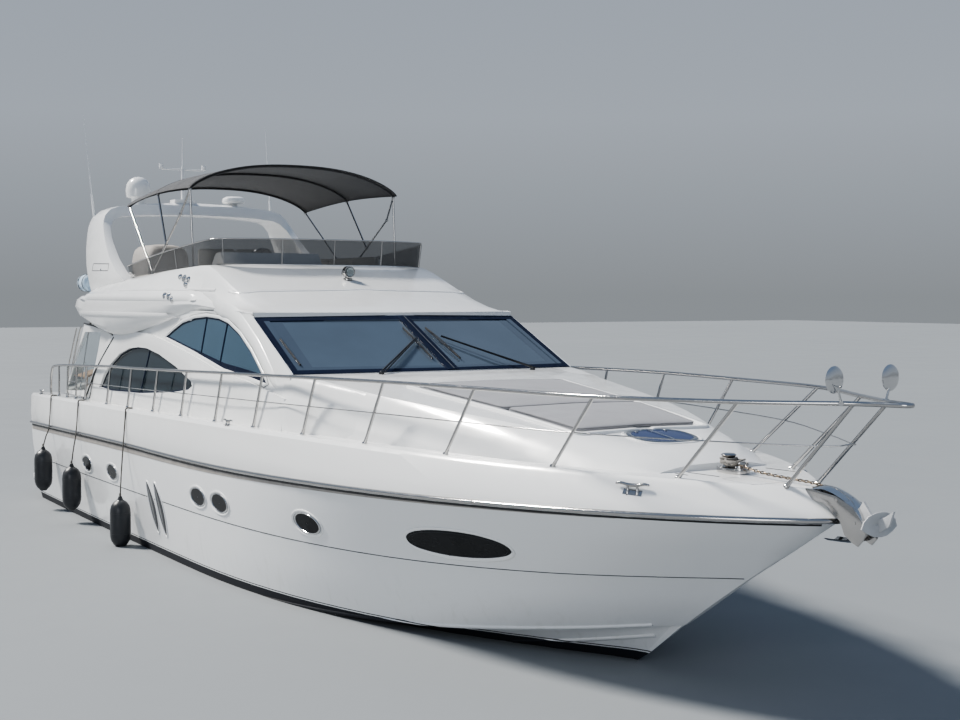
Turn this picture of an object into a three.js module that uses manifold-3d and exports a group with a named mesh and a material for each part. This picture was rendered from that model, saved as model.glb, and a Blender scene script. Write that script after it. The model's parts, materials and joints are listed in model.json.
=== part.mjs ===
// Flybridge motor yacht, afloat. Millimetres: X forward from amidships, Y to port, Z up from the water.
import * as THREE from 'three';
import { mergeVertices } from 'three/addons/utils/BufferGeometryUtils.js';
import Module from 'manifold-3d';

const wasm = await Module();
wasm.setup();

// Driving dimensions
const GAP = 0.3;                  // clearance between pieces that meet
const TRANSOM_X = -9650;
const FULL_BEAM_X = -1000;        // forward of this the hull narrows towards the bow
const AFT_TAPER = 100;            // narrowing of each side at the transom
const STEM_HALF = 18;             // half thickness of the stem
const HULL_COLUMNS = 34;
const HOUSE_AFT_X = -5450;        // after bulkhead of the saloon
const HOUSE_WALL = 60;
const HOUSE_TOP = 3780;
const HOUSE_TUMBLEHOME = 0.12;    // how far the sides lean in, per unit of height
const HOUSE_HALF = 2200;          // half breadth of the deckhouse 3 m above the water
const FLANK_RAISE = 40;           // how far the sculpted lower flank stands out
const COCKPIT_SOLE = 1660;
const SALOON_SOLE = 1750;
const RAIL_RADIUS = 16;
const RAIL_SIDES = 6;
const POST_RADIUS = 13;
const PROP_Y = 950;
const PROP_X = -8200;
const PROP_Z = -960;
const PROP_RADIUS = 360;
const SHAFT_RADIUS = 32;
const SHAFT_SLOPE = 0.09;
const RUDDER_X = -9050;
const FLY_SOLE = 3900;

// Finishes
const GELCOAT = { color: 0xf1f2f0, roughness: 0.18, metalness: 0 };
const ANTIFOUL = { color: 0x17191d, roughness: 0.7, metalness: 0 };
const STEEL = { color: 0xd5d8da, roughness: 0.15, metalness: 1 };
const BRONZE = { color: 0xa9793d, roughness: 0.35, metalness: 1 };
const GLASS = { color: 0x3f5266, roughness: 0.05, metalness: 0 };
const SMOKED = { color: 0x5f5346, roughness: 0.08, metalness: 0 };
const CANVAS = { color: 0x3a3b3e, roughness: 0.95, metalness: 0 };
const CUSHION = { color: 0xa39c92, roughness: 0.9, metalness: 0 };
const RUBBER = { color: 0x26282b, roughness: 0.75, metalness: 0 };
const TEAK = { color: 0x9a7249, roughness: 0.7, metalness: 0 };
const TRIM = { color: 0x1c2430, roughness: 0.4, metalness: 0 };
const CANVAS_BLUE = { color: 0x9db8cf, roughness: 0.85, metalness: 0 };

// Longitudinal lines of the hull, keel to gunwale. Height tables hold [x, z].
const KEEL = {
  beam: 0, end: 7000, fullness: 2, shoulder: 1,
  z: [[TRANSOM_X, -560], [-5000, -820], [0, -1000], [3500, -960], [5500, -620], [6500, -160], [7000, 130]],
};
const CHINE = {
  beam: 2340, end: 7600, fullness: 2.3, shoulder: 1,
  z: [[TRANSOM_X, -120], [-2000, -110], [2000, -20], [4600, 130], [6200, 320], [7600, 550]],
};
const KNUCKLE = {
  beam: 2500, end: 8610, fullness: 2.6, shoulder: 1,
  z: [[TRANSOM_X, 850], [-1000, 905], [4000, 965], [6500, 1060], [8610, 1220]],
};
const RUB = {
  beam: 2560, end: 9800, fullness: 3.12, shoulder: 0.81,
  z: [[TRANSOM_X, 1520], [-4000, 1630], [0, 1665], [4000, 1780], [7200, 1880], [9800, 1960]],
};
const GUNWALE = {
  beam: 2560, end: 9550, fullness: 2.9, shoulder: 0.83,
  z: [[TRANSOM_X, 2100], [-4900, 2180], [0, 2265], [3500, 2305], [7000, 2275], [9550, 2240]],
};

// Smooth value at x through a table of [x, value]
function along(table, x) {
  const last = table.length - 1;
  if (x <= table[0][0]) return table[0][1];
  if (x >= table[last][0]) return table[last][1];
  let i = 0;
  while (x > table[i + 1][0]) i += 1;
  const slope = (k) => {
    const before = Math.max(k - 1, 0);
    const after = Math.min(k + 1, last);
    return (table[after][1] - table[before][1]) / (table[after][0] - table[before][0]);
  };
  const span = table[i + 1][0] - table[i][0];
  const t = (x - table[i][0]) / span;
  const [a, b] = [table[i][1], table[i + 1][1]];
  const [ta, tb] = [slope(i) * span, slope(i + 1) * span];
  const [t2, t3] = [t * t, t * t * t];
  return a * (2 * t3 - 3 * t2 + 1) + ta * (t3 - 2 * t2 + t) + b * (3 * t2 - 2 * t3) + tb * (t3 - t2);
}

// Half breadth of a hull line at x
function halfBreadth(line, x) {
  const aft = Math.max(0, (FULL_BEAM_X - x) / (FULL_BEAM_X - TRANSOM_X));
  const t = Math.min(1, Math.max(0, (x - FULL_BEAM_X) / (line.end - FULL_BEAM_X)));
  const breadth = line.beam * (1 - t ** line.fullness) ** line.shoulder - AFT_TAPER * aft * aft;
  return Math.max(STEM_HALF, breadth);
}

function linePoint(line, u, inboard = 0, raise = 0) {
  const x = TRANSOM_X + (line.end - TRANSOM_X) * u;
  const y = line.beam === 0 ? 0 : Math.max(STEM_HALF, halfBreadth(line, x) - inboard);
  return [x, y, along(line.z, x) + raise];
}

function blend(a, b, f, bulge = 0) {
  const swell = bulge * Math.sin(Math.PI * f);
  return [a[0] + (b[0] - a[0]) * f, a[1] + (b[1] - a[1]) * f + swell, a[2] + (b[2] - a[2]) * f];
}

// Solids, all through closed meshes
function solidOf(geometry) {
  const bare = geometry.clone();
  bare.deleteAttribute('normal');
  bare.deleteAttribute('uv');
  const merged = mergeVertices(bare, 1e-3);
  const index = merged.index.array;
  const kept = [];
  for (let i = 0; i < index.length; i += 3) {
    const [a, b, c] = [index[i], index[i + 1], index[i + 2]];
    if (a !== b && b !== c && c !== a) kept.push(a, b, c);
  }
  const points = merged.attributes.position.array;
  return new wasm.Manifold(new wasm.Mesh({
    numProp: 3,
    vertProperties: new Float32Array(points),
    triVerts: new Uint32Array(outward(points, kept)),
  }));
}

function outward(points, index) {
  let volume = 0;
  const corner = (k) => new THREE.Vector3().fromArray(points, 3 * k);
  for (let i = 0; i < index.length; i += 3) {
    volume += corner(index[i]).dot(corner(index[i + 1]).cross(corner(index[i + 2])));
  }
  if (volume > 0) return index;
  const flipped = [];
  for (let i = 0; i < index.length; i += 3) flipped.push(index[i], index[i + 2], index[i + 1]);
  return flipped;
}

function solidFrom(points, index) {
  const geometry = new THREE.BufferGeometry();
  geometry.setAttribute('position', new THREE.Float32BufferAttribute(points.flat(), 3));
  geometry.setIndex(index);
  return solidOf(geometry);
}

function join(...solids) {
  return solids.reduce((sum, each) => sum.add(each));
}

function cut(solid, ...tools) {
  return tools.reduce((rest, tool) => rest.subtract(tool), solid);
}

// Loft of half sections whose first and last points lie on the centreline
function symmetricLoft(sections) {
  const rows = sections[0].length;
  const ring = 2 * rows - 2;
  const points = [];
  const index = [];
  sections.forEach((section) => {
    section.forEach(([x, y, z]) => points.push([x, y, z]));
    for (let i = rows - 2; i > 0; i -= 1) points.push([section[i][0], -section[i][1], section[i][2]]);
  });
  for (let k = 0; k + 1 < sections.length; k += 1) {
    for (let j = 0; j < ring; j += 1) {
      const [a, b] = [k * ring + j, k * ring + (j + 1) % ring];
      index.push(a, b, b + ring, a, b + ring, a + ring);
    }
  }
  const cap = (start, flip) => {
    const mirror = (i) => (i === 0 || i === rows - 1 ? start + i : start + ring - i);
    for (let i = 0; i + 1 < rows; i += 1) {
      const quad = [start + i, start + i + 1, mirror(i + 1), mirror(i)];
      const faces = [[quad[0], quad[2], quad[1]], [quad[0], quad[3], quad[2]]];
      faces.forEach(([a, b, c]) => index.push(...(flip ? [a, c, b] : [a, b, c])));
    }
  };
  cap(0, false);
  cap((sections.length - 1) * ring, true);
  return solidFrom(points, index);
}

// Closed slab between two grids of points of the same size
function slab(upper, lower) {
  const rows = upper.length;
  const columns = upper[0].length;
  const points = [...upper.flat(), ...lower.flat()];
  const index = [];
  const top = (i, j) => i * columns + j;
  const bottom = (i, j) => rows * columns + top(i, j);
  for (let i = 0; i + 1 < rows; i += 1) {
    for (let j = 0; j + 1 < columns; j += 1) {
      index.push(top(i, j), top(i + 1, j), top(i + 1, j + 1), top(i, j), top(i + 1, j + 1), top(i, j + 1));
      index.push(bottom(i, j), bottom(i + 1, j + 1), bottom(i + 1, j));
      index.push(bottom(i, j), bottom(i, j + 1), bottom(i + 1, j + 1));
    }
  }
  const wall = (a, b) => {
    index.push(top(...a), top(...b), bottom(...b), top(...a), bottom(...b), bottom(...a));
  };
  for (let i = 0; i + 1 < rows; i += 1) {
    wall([i + 1, 0], [i, 0]);
    wall([i, columns - 1], [i + 1, columns - 1]);
  }
  for (let j = 0; j + 1 < columns; j += 1) {
    wall([0, j], [0, j + 1]);
    wall([rows - 1, j + 1], [rows - 1, j]);
  }
  return solidFrom(points, index);
}

function box(x0, x1, y0, y1, z0, z1) {
  const geometry = new THREE.BoxGeometry(x1 - x0, y1 - y0, z1 - z0);
  geometry.translate((x0 + x1) / 2, (y0 + y1) / 2, (z0 + z1) / 2);
  return solidOf(geometry);
}

function shapeOf(outline) {
  return outline instanceof THREE.Shape
    ? outline
    : new THREE.Shape(outline.map(([a, b]) => new THREE.Vector2(a, b)));
}

// Prism of an outline in X and Y, from z0 to z1
function prismZ(outline, z0, z1, curveSegments = 6) {
  const geometry = new THREE.ExtrudeGeometry(shapeOf(outline), {
    depth: z1 - z0, bevelEnabled: false, curveSegments,
  });
  geometry.translate(0, 0, z0);
  return solidOf(geometry);
}

// Prism of an outline in X and Z, from y0 to y1
function prismY(outline, y0, y1, curveSegments = 6) {
  const geometry = new THREE.ExtrudeGeometry(shapeOf(outline), {
    depth: y1 - y0, bevelEnabled: false, curveSegments,
  });
  geometry.rotateX(Math.PI / 2);
  geometry.translate(0, y1, 0);
  return solidOf(geometry);
}

// Prism of an outline in Y and Z, from x0 to x1
function prismX(outline, x0, x1, curveSegments = 6) {
  const geometry = new THREE.ExtrudeGeometry(shapeOf(outline), {
    depth: x1 - x0, bevelEnabled: false, curveSegments,
  });
  geometry.rotateY(Math.PI / 2);
  geometry.rotateX(Math.PI / 2);
  geometry.translate(x0, 0, 0);
  return solidOf(geometry);
}

function roundedRectangle(a0, a1, b0, b1, r) {
  const shape = new THREE.Shape();
  shape.moveTo(a0 + r, b0);
  shape.lineTo(a1 - r, b0);
  shape.absarc(a1 - r, b0 + r, r, -Math.PI / 2, 0);
  shape.lineTo(a1, b1 - r);
  shape.absarc(a1 - r, b1 - r, r, 0, Math.PI / 2);
  shape.lineTo(a0 + r, b1);
  shape.absarc(a0 + r, b1 - r, r, Math.PI / 2, Math.PI);
  shape.lineTo(a0, b0 + r);
  shape.absarc(a0 + r, b0 + r, r, Math.PI, 1.5 * Math.PI);
  return shape;
}

function ellipse(radiusA, radiusB, centreA = 0, centreB = 0) {
  return new THREE.Shape().absellipse(centreA, centreB, radiusA, radiusB, 0, 2 * Math.PI);
}

// Straight round bar between two points
function rod(from, to, radius, sides = 8, endRadius = radius) {
  const a = new THREE.Vector3(...from);
  const b = new THREE.Vector3(...to);
  const along3 = b.clone().sub(a);
  const geometry = new THREE.CylinderGeometry(endRadius, radius, along3.length(), sides);
  geometry.applyQuaternion(new THREE.Quaternion().setFromUnitVectors(
    new THREE.Vector3(0, 1, 0), along3.clone().normalize(),
  ));
  const middle = a.add(b).multiplyScalar(0.5);
  geometry.translate(middle.x, middle.y, middle.z);
  return solidOf(geometry);
}

// Bent round bar through a list of points
function tube(points, radius, steps, sides = 8, tension = 0.5) {
  const path = new THREE.CatmullRomCurve3(
    points.map((p) => new THREE.Vector3(...p)), false, 'catmullrom', tension,
  );
  const section = new THREE.Shape();
  for (let i = 0; i < sides; i += 1) {
    const angle = (2 * Math.PI * i) / sides;
    const at = [radius * Math.cos(angle), radius * Math.sin(angle)];
    if (i === 0) section.moveTo(...at);
    else section.lineTo(...at);
  }
  return solidOf(new THREE.ExtrudeGeometry(section, { steps, extrudePath: path, bevelEnabled: false }));
}

// Turned piece: profile of [radius, height], its axis from the point given towards +Z
function turned(profile, at, sides = 16) {
  const geometry = new THREE.LatheGeometry(profile.map(([r, h]) => new THREE.Vector2(r, h)), sides);
  geometry.rotateX(Math.PI / 2);
  geometry.translate(...at);
  return solidOf(geometry);
}

// The named pieces
const yacht = new THREE.Group();

function add(name, solid, finish) {
  const mesh = solid.getMesh();
  const geometry = new THREE.BufferGeometry();
  geometry.setAttribute('position', new THREE.BufferAttribute(mesh.vertProperties, 3));
  geometry.setIndex(new THREE.BufferAttribute(mesh.triVerts, 1));
  geometry.computeVertexNormals();
  const piece = new THREE.Mesh(geometry, new THREE.MeshStandardMaterial(finish));
  piece.name = name;
  yacht.add(piece);
  return solid;
}

const hullStations = Array.from(
  { length: HULL_COLUMNS + 1 },
  (_, k) => 1 - (1 - k / HULL_COLUMNS) ** 1.3,
);

// Hull: vee bottom with a chine flat, flared topsides with a knuckle, up to the rubbing strake
const CHINE_FLAT = 130;
function hullSection(u) {
  const keel = linePoint(KEEL, u);
  const chineInner = linePoint(CHINE, u, CHINE_FLAT, 15);
  const chine = linePoint(CHINE, u);
  const knuckle = linePoint(KNUCKLE, u);
  const rub = linePoint(RUB, u);
  return [
    keel,
    blend(keel, chineInner, 0.5, 0),
    chineInner,
    chine,
    blend(chine, knuckle, 0.33, 18),
    blend(chine, knuckle, 0.67, 18),
    knuckle,
    blend(knuckle, rub, 0.5, 14),
    rub,
    [rub[0], 0, rub[2]],
  ];
}
const shaftLine = (side, x) => [x, side * PROP_Y, PROP_Z + (x - PROP_X) * SHAFT_SLOPE];
const BORE_CLEARANCE = 6;
const BEARING_SIDES = 24;
// Bore that a round bar of as many sides turns in
const bearing = (radius) => (radius + 0.4) / Math.cos(Math.PI / BEARING_SIDES);
const SHAFT_FRONT_X = -5900;
const RUDDER_STOCK = 34;
const RUDDER_STOCK_TOP = -120;
let hull = symmetricLoft(hullStations.map(hullSection));
[1, -1].forEach((side) => {
  const bore = SHAFT_RADIUS + BORE_CLEARANCE;
  hull = cut(
    hull,
    rod(shaftLine(side, SHAFT_FRONT_X - 1600), shaftLine(side, SHAFT_FRONT_X + GAP), bore, 12),
    rod([RUDDER_X, side * PROP_Y, -700], [RUDDER_X, side * PROP_Y, RUDDER_STOCK_TOP + GAP],
      bearing(RUDDER_STOCK), BEARING_SIDES),
  );
});
add('hull', hull, GELCOAT);

// Deck moulding: bulwark, side decks, foredeck trunk, cockpit and saloon wells
const GUNWALE_ROUND = 45;
function deckSection(u) {
  const rub = linePoint(RUB, u, 0, GAP);
  const gunwale = linePoint(GUNWALE, u, 0, -GUNWALE_ROUND);
  const crown = linePoint(GUNWALE, u, GUNWALE_ROUND, 0);
  return [
    [rub[0], 0, rub[2]],
    rub,
    blend(rub, gunwale, 0.4, 14),
    gunwale,
    crown,
    [crown[0], 0, crown[2]],
  ];
}
const WINDSHIELD_X = 2730;        // foot of the windshield on the centreline
const WINDSHIELD_Z = 3050;
const WINDSHIELD_SWEEP = 0.188;   // how far it runs aft, per unit of half breadth
const WINDSHIELD_RAKE = 0.479;    // rise per unit run aft
const TRUNK_INSET = 290;          // side deck between gunwale and trunk
// Foredeck trunk: x, height of its top, half breadth of its flat top
const TRUNK = [
  [1900, 3080, 2080], [2730, 3030, 2020], [3800, 2905, 1880], [5000, 2790, 1620],
  [6000, 2690, 1320], [7000, 2560, 920], [7500, 2490, 700], [7850, 2420, 500], [8050, 2330, 330],
];
function trunkSection([x, top, half]) {
  const deck = along(GUNWALE.z, x) - 30;
  const foot = Math.min(HOUSE_HALF + 85, halfBreadth(GUNWALE, x) - TRUNK_INSET);
  const rise = top - deck;
  return [
    [x, 0, deck], [x, foot, deck], [x, foot - 0.25 * (foot - half), deck + 0.45 * rise],
    [x, half + 0.3 * (foot - half), top - 0.2 * rise], [x, half, top - 0.05 * rise], [x, 0, top],
  ];
}
const trunkStations = [];
for (let x = 1900; x < 8050; x += 410) {
  const top = along(TRUNK.map(([at, z]) => [at, z]), x);
  const half = along(TRUNK.map(([at, , breadth]) => [at, breadth]), x);
  trunkStations.push([x, top, half]);
}
trunkStations.push(TRUNK[TRUNK.length - 1]);
// Everything forward of the foot of the windshield
function forwardOfWindshield(shift) {
  const apex = WINDSHIELD_X + shift;
  const side = apex - WINDSHIELD_SWEEP * 3000;
  return prismZ([[apex, 0], [side, 3000], [12000, 3000], [12000, -3000], [side, -3000]], 0, 7000);
}
const trunk = symmetricLoft(trunkStations.map(trunkSection)).intersect(forwardOfWindshield(GAP));

// Oval deck hatch, tilted with the top of the trunk
const HATCH = { x: 7180, length: 310, width: 400, tilt: 0.134, lid: 38 };
const HATCH_Z = along(TRUNK.map(([at, z]) => [at, z]), HATCH.x);
function hatchPlate(shrink, below, above) {
  const geometry = new THREE.ExtrudeGeometry(
    ellipse(HATCH.length - shrink, HATCH.width - shrink),
    { depth: above - below, bevelEnabled: false, curveSegments: 10 },
  );
  geometry.translate(0, 0, below);
  geometry.rotateY(HATCH.tilt);
  geometry.translate(HATCH.x, 0, HATCH_Z);
  return solidOf(geometry);
}
const COCKPIT = { aft: -9350, half: 2050 };
const SALOON = { front: 1900, half: 1950 };
const GATE = { inner: -1300, outer: -1960 };
const SOLE_HATCH = { x0: -7700, x1: -6900, half: 420, depth: 32 };
let deck = join(symmetricLoft(hullStations.map(deckSection)), trunk);
deck = cut(
  deck,
  box(COCKPIT.aft, HOUSE_AFT_X, -COCKPIT.half, COCKPIT.half, COCKPIT_SOLE, 3500),
  box(HOUSE_AFT_X - 10, SALOON.front, -SALOON.half, SALOON.half, SALOON_SOLE, 3500),
  box(TRANSOM_X - 50, COCKPIT.aft + 10, GATE.outer, GATE.inner, COCKPIT_SOLE, 3500),
  box(SOLE_HATCH.x0, SOLE_HATCH.x1, -SOLE_HATCH.half, SOLE_HATCH.half,
    COCKPIT_SOLE - SOLE_HATCH.depth, COCKPIT_SOLE + 10),
  hatchPlate(0, -HATCH.lid - GAP, 200),
  hatchPlate(45, -170, 0),
);

// Deckhouse: hollow shell, windows cut through, open to the flybridge floor above
const HOUSE_BASE_Z = SALOON_SOLE + GAP;
const HOUSE_FORE_X = 3000;
const BUTTRESS_X = -6150;
function houseHalf(z, grow) {
  return HOUSE_HALF - HOUSE_TUMBLEHOME * (z - 3000) + grow;
}
function houseLoft(grow, x0, x1, z0, z1) {
  const section = (x) => [
    [x, 0, z0], [x, houseHalf(z0, grow), z0], [x, houseHalf(z1, grow), z1], [x, 0, z1],
  ];
  return symmetricLoft([section(x0), section(x1)]);
}
// Everything above the windshield's two planes, raised by the distance given
function aboveWindshield(raise) {
  const height = (x, y) => WINDSHIELD_Z + raise - WINDSHIELD_RAKE * (x - WINDSHIELD_X) - 0.099 * y;
  const side = (x) => [
    [x, 0, height(x, 0)], [x, 3000, height(x, 3000)], [x, 3000, 7000], [x, 0, 7000],
  ];
  return symmetricLoft([side(-3000), side(4000)]);
}
const BUTTRESS_EDGE = [
  [-6300, 1900], [-6150, 2130], [-6060, 2500], [-5900, 2820], [-5650, 3100], [-5440, 3240],
  [-5440, 4000], [-6300, 4000],
];
// Lower flank with the raised arch over the after window
const FLANK = [
  [-6150, 2050], [-6060, 2500], [-5900, 2820], [-5650, 3100], [-5340, 3300], [-4900, 3400], [-4200, 3430],
  [-3400, 3425], [-2620, 3340], [-1300, 3160], [0, 2950], [1000, 2870], [1640, 2790], [2400, 2700], [2400, 2050],
];
const AFT_WINDOW = [
  [-5630, 2430], [-5450, 2640], [-5180, 2830], [-4700, 3040], [-4200, 3150], [-3750, 3185], [-3300, 3180],
  [-2710, 3110], [-1880, 2950], [-1150, 2760], [-1080, 2690], [-1230, 2630], [-1930, 2550], [-3420, 2450],
  [-5040, 2400],
];
const FORE_WINDOW = [
  [-2560, 3385], [-2250, 3500], [-1900, 3610], [-1400, 3690], [-900, 3720], [-400, 3700], [0, 3640],
  [470, 3490], [950, 3260], [1360, 3010], [1600, 2865], [1000, 2925], [0, 3000], [-1300, 3210],
];
function flank(grow) {
  const band = houseLoft(FLANK_RAISE + grow, -6200, HOUSE_FORE_X, HOUSE_BASE_Z, HOUSE_TOP + 100);
  return band.intersect(prismY(FLANK, -3000, 3000));
}
function houseOuter(grow) {
  const body = houseLoft(grow, BUTTRESS_X, HOUSE_FORE_X, HOUSE_BASE_Z, HOUSE_TOP - GAP + grow);
  return cut(join(body, flank(grow)), aboveWindshield(grow));
}
const deckLifted = deck.translate([0, 0, GAP]);
// Pane outlines of the windshield in plan, starboard mirrors port
const PANE = [[2640, 60], [2290, 2010], [950, 1930], [1330, 60]];
const DOOR = { half: 480, sill: SALOON_SOLE + 15, head: 3660 };
const AFT_PANE = { inner: 640, outer: 1700, sill: 2150, head: DOOR.head };
function shrunk(outline, a, b) {
  const middle = outline.reduce((sum, p) => [sum[0] + p[0] / outline.length, sum[1] + p[1] / outline.length], [0, 0]);
  return outline.map((p) => [middle[0] + (p[0] - middle[0]) * a, middle[1] + (p[1] - middle[1]) * b]);
}
let house = cut(
  houseOuter(0),
  forwardOfWindshield(0),
  cut(
    houseLoft(-HOUSE_WALL, HOUSE_AFT_X + HOUSE_WALL, WINDSHIELD_X - 560, 0, 5000),
    aboveWindshield(-HOUSE_WALL),
  ),
  box(HOUSE_AFT_X + HOUSE_WALL, 1200, -2000, 2000, HOUSE_TOP - 90, 5000),
  houseLoft(-HOUSE_WALL, -6400, HOUSE_AFT_X, 0, 5000),
  prismY(BUTTRESS_EDGE, -3000, 3000),
  deckLifted,
  box(HOUSE_AFT_X - 50, HOUSE_AFT_X + 100, -DOOR.half, DOOR.half, DOOR.sill, DOOR.head),
);
[1, -1].forEach((side) => {
  const [y0, y1] = side > 0 ? [1990, 3000] : [-3000, -1990];
  const inner = Math.min(side * AFT_PANE.inner, side * AFT_PANE.outer);
  const outer = Math.max(side * AFT_PANE.inner, side * AFT_PANE.outer);
  house = cut(
    house,
    prismY(AFT_WINDOW, y0, y1),
    prismY(FORE_WINDOW, y0, y1),
    prismZ(PANE.map(([x, y]) => [x, side * y]), 2900, 4200),
    box(HOUSE_AFT_X - 50, HOUSE_AFT_X + 100, inner, outer, AFT_PANE.sill, AFT_PANE.head),
  );
});
add('deck_moulding', deck, GELCOAT);
add('deckhouse', house, GELCOAT);

// Window glass, each pane in its own opening
const GLASS_INSET = 12;
const GLASS_THICK = 12;
const skin = cut(
  houseLoft(-GLASS_INSET, -6200, HOUSE_FORE_X, HOUSE_BASE_Z, HOUSE_TOP),
  houseLoft(-GLASS_INSET - GLASS_THICK, -6300, HOUSE_FORE_X + 100, 0, HOUSE_TOP + 100),
);
const screen = cut(aboveWindshield(-GLASS_INSET - GLASS_THICK), aboveWindshield(-GLASS_INSET));
Object.entries({ port: 1, starboard: -1 }).forEach(([label, side]) => {
  const [y0, y1] = side > 0 ? [1990, 3000] : [-3000, -1990];
  add(`side_window_aft_${label}`, skin.intersect(prismY(shrunk(AFT_WINDOW, 0.9985, 0.997), y0, y1)), GLASS);
  add(`side_window_fore_${label}`, skin.intersect(prismY(shrunk(FORE_WINDOW, 0.9985, 0.997), y0, y1)), GLASS);
  const outline = shrunk(PANE.map(([x, y]) => [x, side * y]), 0.999, 0.999);
  add(`windshield_${label}`, screen.intersect(prismZ(outline, 2900, 4200)), GLASS);
  const [inner, outer] = side > 0
    ? [AFT_PANE.inner + GAP, AFT_PANE.outer - GAP]
    : [-AFT_PANE.outer + GAP, -AFT_PANE.inner - GAP];
  add(`saloon_aft_window_${label}`, box(HOUSE_AFT_X + 22, HOUSE_AFT_X + 34, inner, outer,
    AFT_PANE.sill + GAP, AFT_PANE.head - GAP), GLASS);
});
const DOOR_TRACK = 12;
const DOOR_LEAF = 36;
const DOOR_LAP = 40;
const DOOR_X = HOUSE_AFT_X - DOOR_TRACK - DOOR_LEAF;
const doorShoe = (y) => box(DOOR_X + 8, DOOR_X + 28, y - 30, y + 30, COCKPIT_SOLE + GAP, COCKPIT_SOLE + 20);
add('saloon_door', join(
  box(DOOR_X, DOOR_X + DOOR_LEAF, -DOOR.half - DOOR_LAP, DOOR.half + DOOR_LAP, COCKPIT_SOLE + 12,
    DOOR.head + DOOR_LAP),
  doorShoe(-DOOR.half),
  doorShoe(DOOR.half),
), GLASS);

// Saloon furniture that shows through the glass
add('saloon_dash', prismY(
  [[700, SALOON_SOLE + GAP], [1850, SALOON_SOLE + GAP], [1850, 2800], [1500, 2880], [900, 2760], [700, 2500]],
  -1900, 1900,
), TRIM);
const SETTEE = [[0, 0], [600, 0], [600, 430], [180, 450], [120, 880], [0, 880]];
add('saloon_settee', prismX(
  SETTEE.map(([a, b]) => [1900 - a, SALOON_SOLE + GAP + b]), -4700, -1200,
), CUSHION);
add('saloon_helm_seat', join(
  box(-250, 250, -1350, -650, SALOON_SOLE + GAP, 2350),
  box(-250, -120, -1350, -650, 2300, 2950),
), CUSHION);

// Flybridge moulding. Stations: x, sweep, top, coaming half breadth and height, shelf half breadth and
// height, lowest edge
const FLY = [
  [1240, 0.188, 3800, 1850, 3796, 2100, 3793, 3782],
  [600, 0.188, 3975, 1870, 3945, 2120, 3860, 3782],
  [-300, 0.12, 4225, 1880, 4190, 2140, 3940, 3782],
  [-1300, 0.05, 4520, 1860, 4480, 2150, 4030, 3782],
  [-1900, 0, 4500, 1900, 4480, 2200, 4090, 3700],
  [-3000, 0, 4450, 1950, 4430, 2300, 4150, 3560],
  [-4200, 0, 4380, 1970, 4360, 2370, 4170, 3400],
  [-5000, 0, 4330, 1980, 4310, 2400, 4150, 3370],
  [-6000, 0, 4250, 1990, 4230, 2410, 4100, 3480],
  [-6800, 0, 4190, 1960, 4170, 2370, 4020, 3640],
  [-7250, 0, 4140, 1880, 4120, 2230, 3950, 3720],
  [-7900, 0, 4090, 1760, 4070, 2000, 3920, 3782],
  [-8350, 0, 4050, 1480, 4030, 1700, 3890, 3782],
];
function flySection([x, sweep, top, coaming, coamingZ, shelf, shelfZ, low]) {
  const points = [
    [0, top],
    [coaming - 250, top - 0.1 * (top - coamingZ)],
    [coaming, coamingZ],
    [coaming + 0.25 * (shelf - coaming), coamingZ - 0.3 * (coamingZ - shelfZ)],
    [coaming + 0.5 * (shelf - coaming), shelfZ + 0.12 * (coamingZ - shelfZ)],
    [shelf - 30, shelfZ - 0.15 * (shelfZ - low)],
    [shelf, shelfZ - 0.5 * (shelfZ - low)],
    [shelf - 60, low + 0.15 * (shelfZ - low)],
    [shelf - 170, low],
    [Math.min(2020, shelf - 200), HOUSE_TOP],
    [0, HOUSE_TOP],
  ];
  return points.map(([y, z]) => [x - sweep * y, y, z]);
}
function flyStations() {
  const column = (i) => FLY.map((row) => [row[0], row[i]]).reverse();
  const tables = [1, 2, 3, 4, 5, 6, 7].map(column);
  const stations = [];
  const count = 26;
  for (let k = 0; k <= count; k += 1) {
    const x = FLY[0][0] + ((FLY[FLY.length - 1][0] - FLY[0][0]) * k) / count;
    const row = tables.map((table) => along(table, x));
    row[6] = Math.max(row[6], 3340);
    stations.push([x, ...row]);
  }
  return stations.reverse();
}
const FLY_WELL = roundedRectangle(-7950, -1750, -1720, 1720, 160);
const LADDER_WELL = { x0: -7790, x1: -6920, y0: 665, y1: 1485 };
let fly = cut(
  symmetricLoft(flyStations().map(flySection)),
  houseOuter(GAP),
  prismZ(FLY_WELL, FLY_SOLE, 6000, 5),
  box(LADDER_WELL.x0, LADDER_WELL.x1, LADDER_WELL.y0, LADDER_WELL.y1, 3500, 4100),
);
fly = cut(fly, box(BUTTRESS_X - 400, 3000, -2000, 2000, 3000, HOUSE_TOP));
add('flybridge_moulding', fly, GELCOAT);
const flyLifted = fly.translate([0, 0, GAP]);

// Radar arch: a hoop across the boat, raked forward
const ARCH_SIDE = [
  [-6700, 3950], [-6860, 4150], [-7250, 4560], [-7510, 4940], [-7620, 5200], [-7650, 5400], [-7590, 5540],
  [-7450, 5650], [-7250, 5785], [-7000, 5790], [-6910, 5730], [-6880, 5600], [-6800, 5390], [-6610, 5200],
  [-6330, 4970], [-5880, 4670], [-5430, 4450], [-4910, 4260], [-4500, 4180], [-4450, 3950],
];
const ARCH_OUTER = [
  [2090, 3950], [2060, 4400], [2000, 4760], [1930, 5080], [1870, 5330], [1800, 5500], [1690, 5610], [1520, 5675],
  [1100, 5725], [600, 5765], [0, 5785],
];
const ARCH_INNER = [
  [1860, 3950], [1850, 4480], [1825, 4800], [1795, 5080], [1745, 5290], [1650, 5415], [1500, 5480], [1100, 5520],
  [600, 5540], [0, 5550],
];
function hoop(outer, inner) {
  const flip = (list) => list.map(([y, z]) => [-y, z]);
  return [
    ...outer, ...flip(outer).reverse().slice(1),
    ...flip(inner), ...[...inner].reverse().slice(1),
  ];
}
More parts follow.
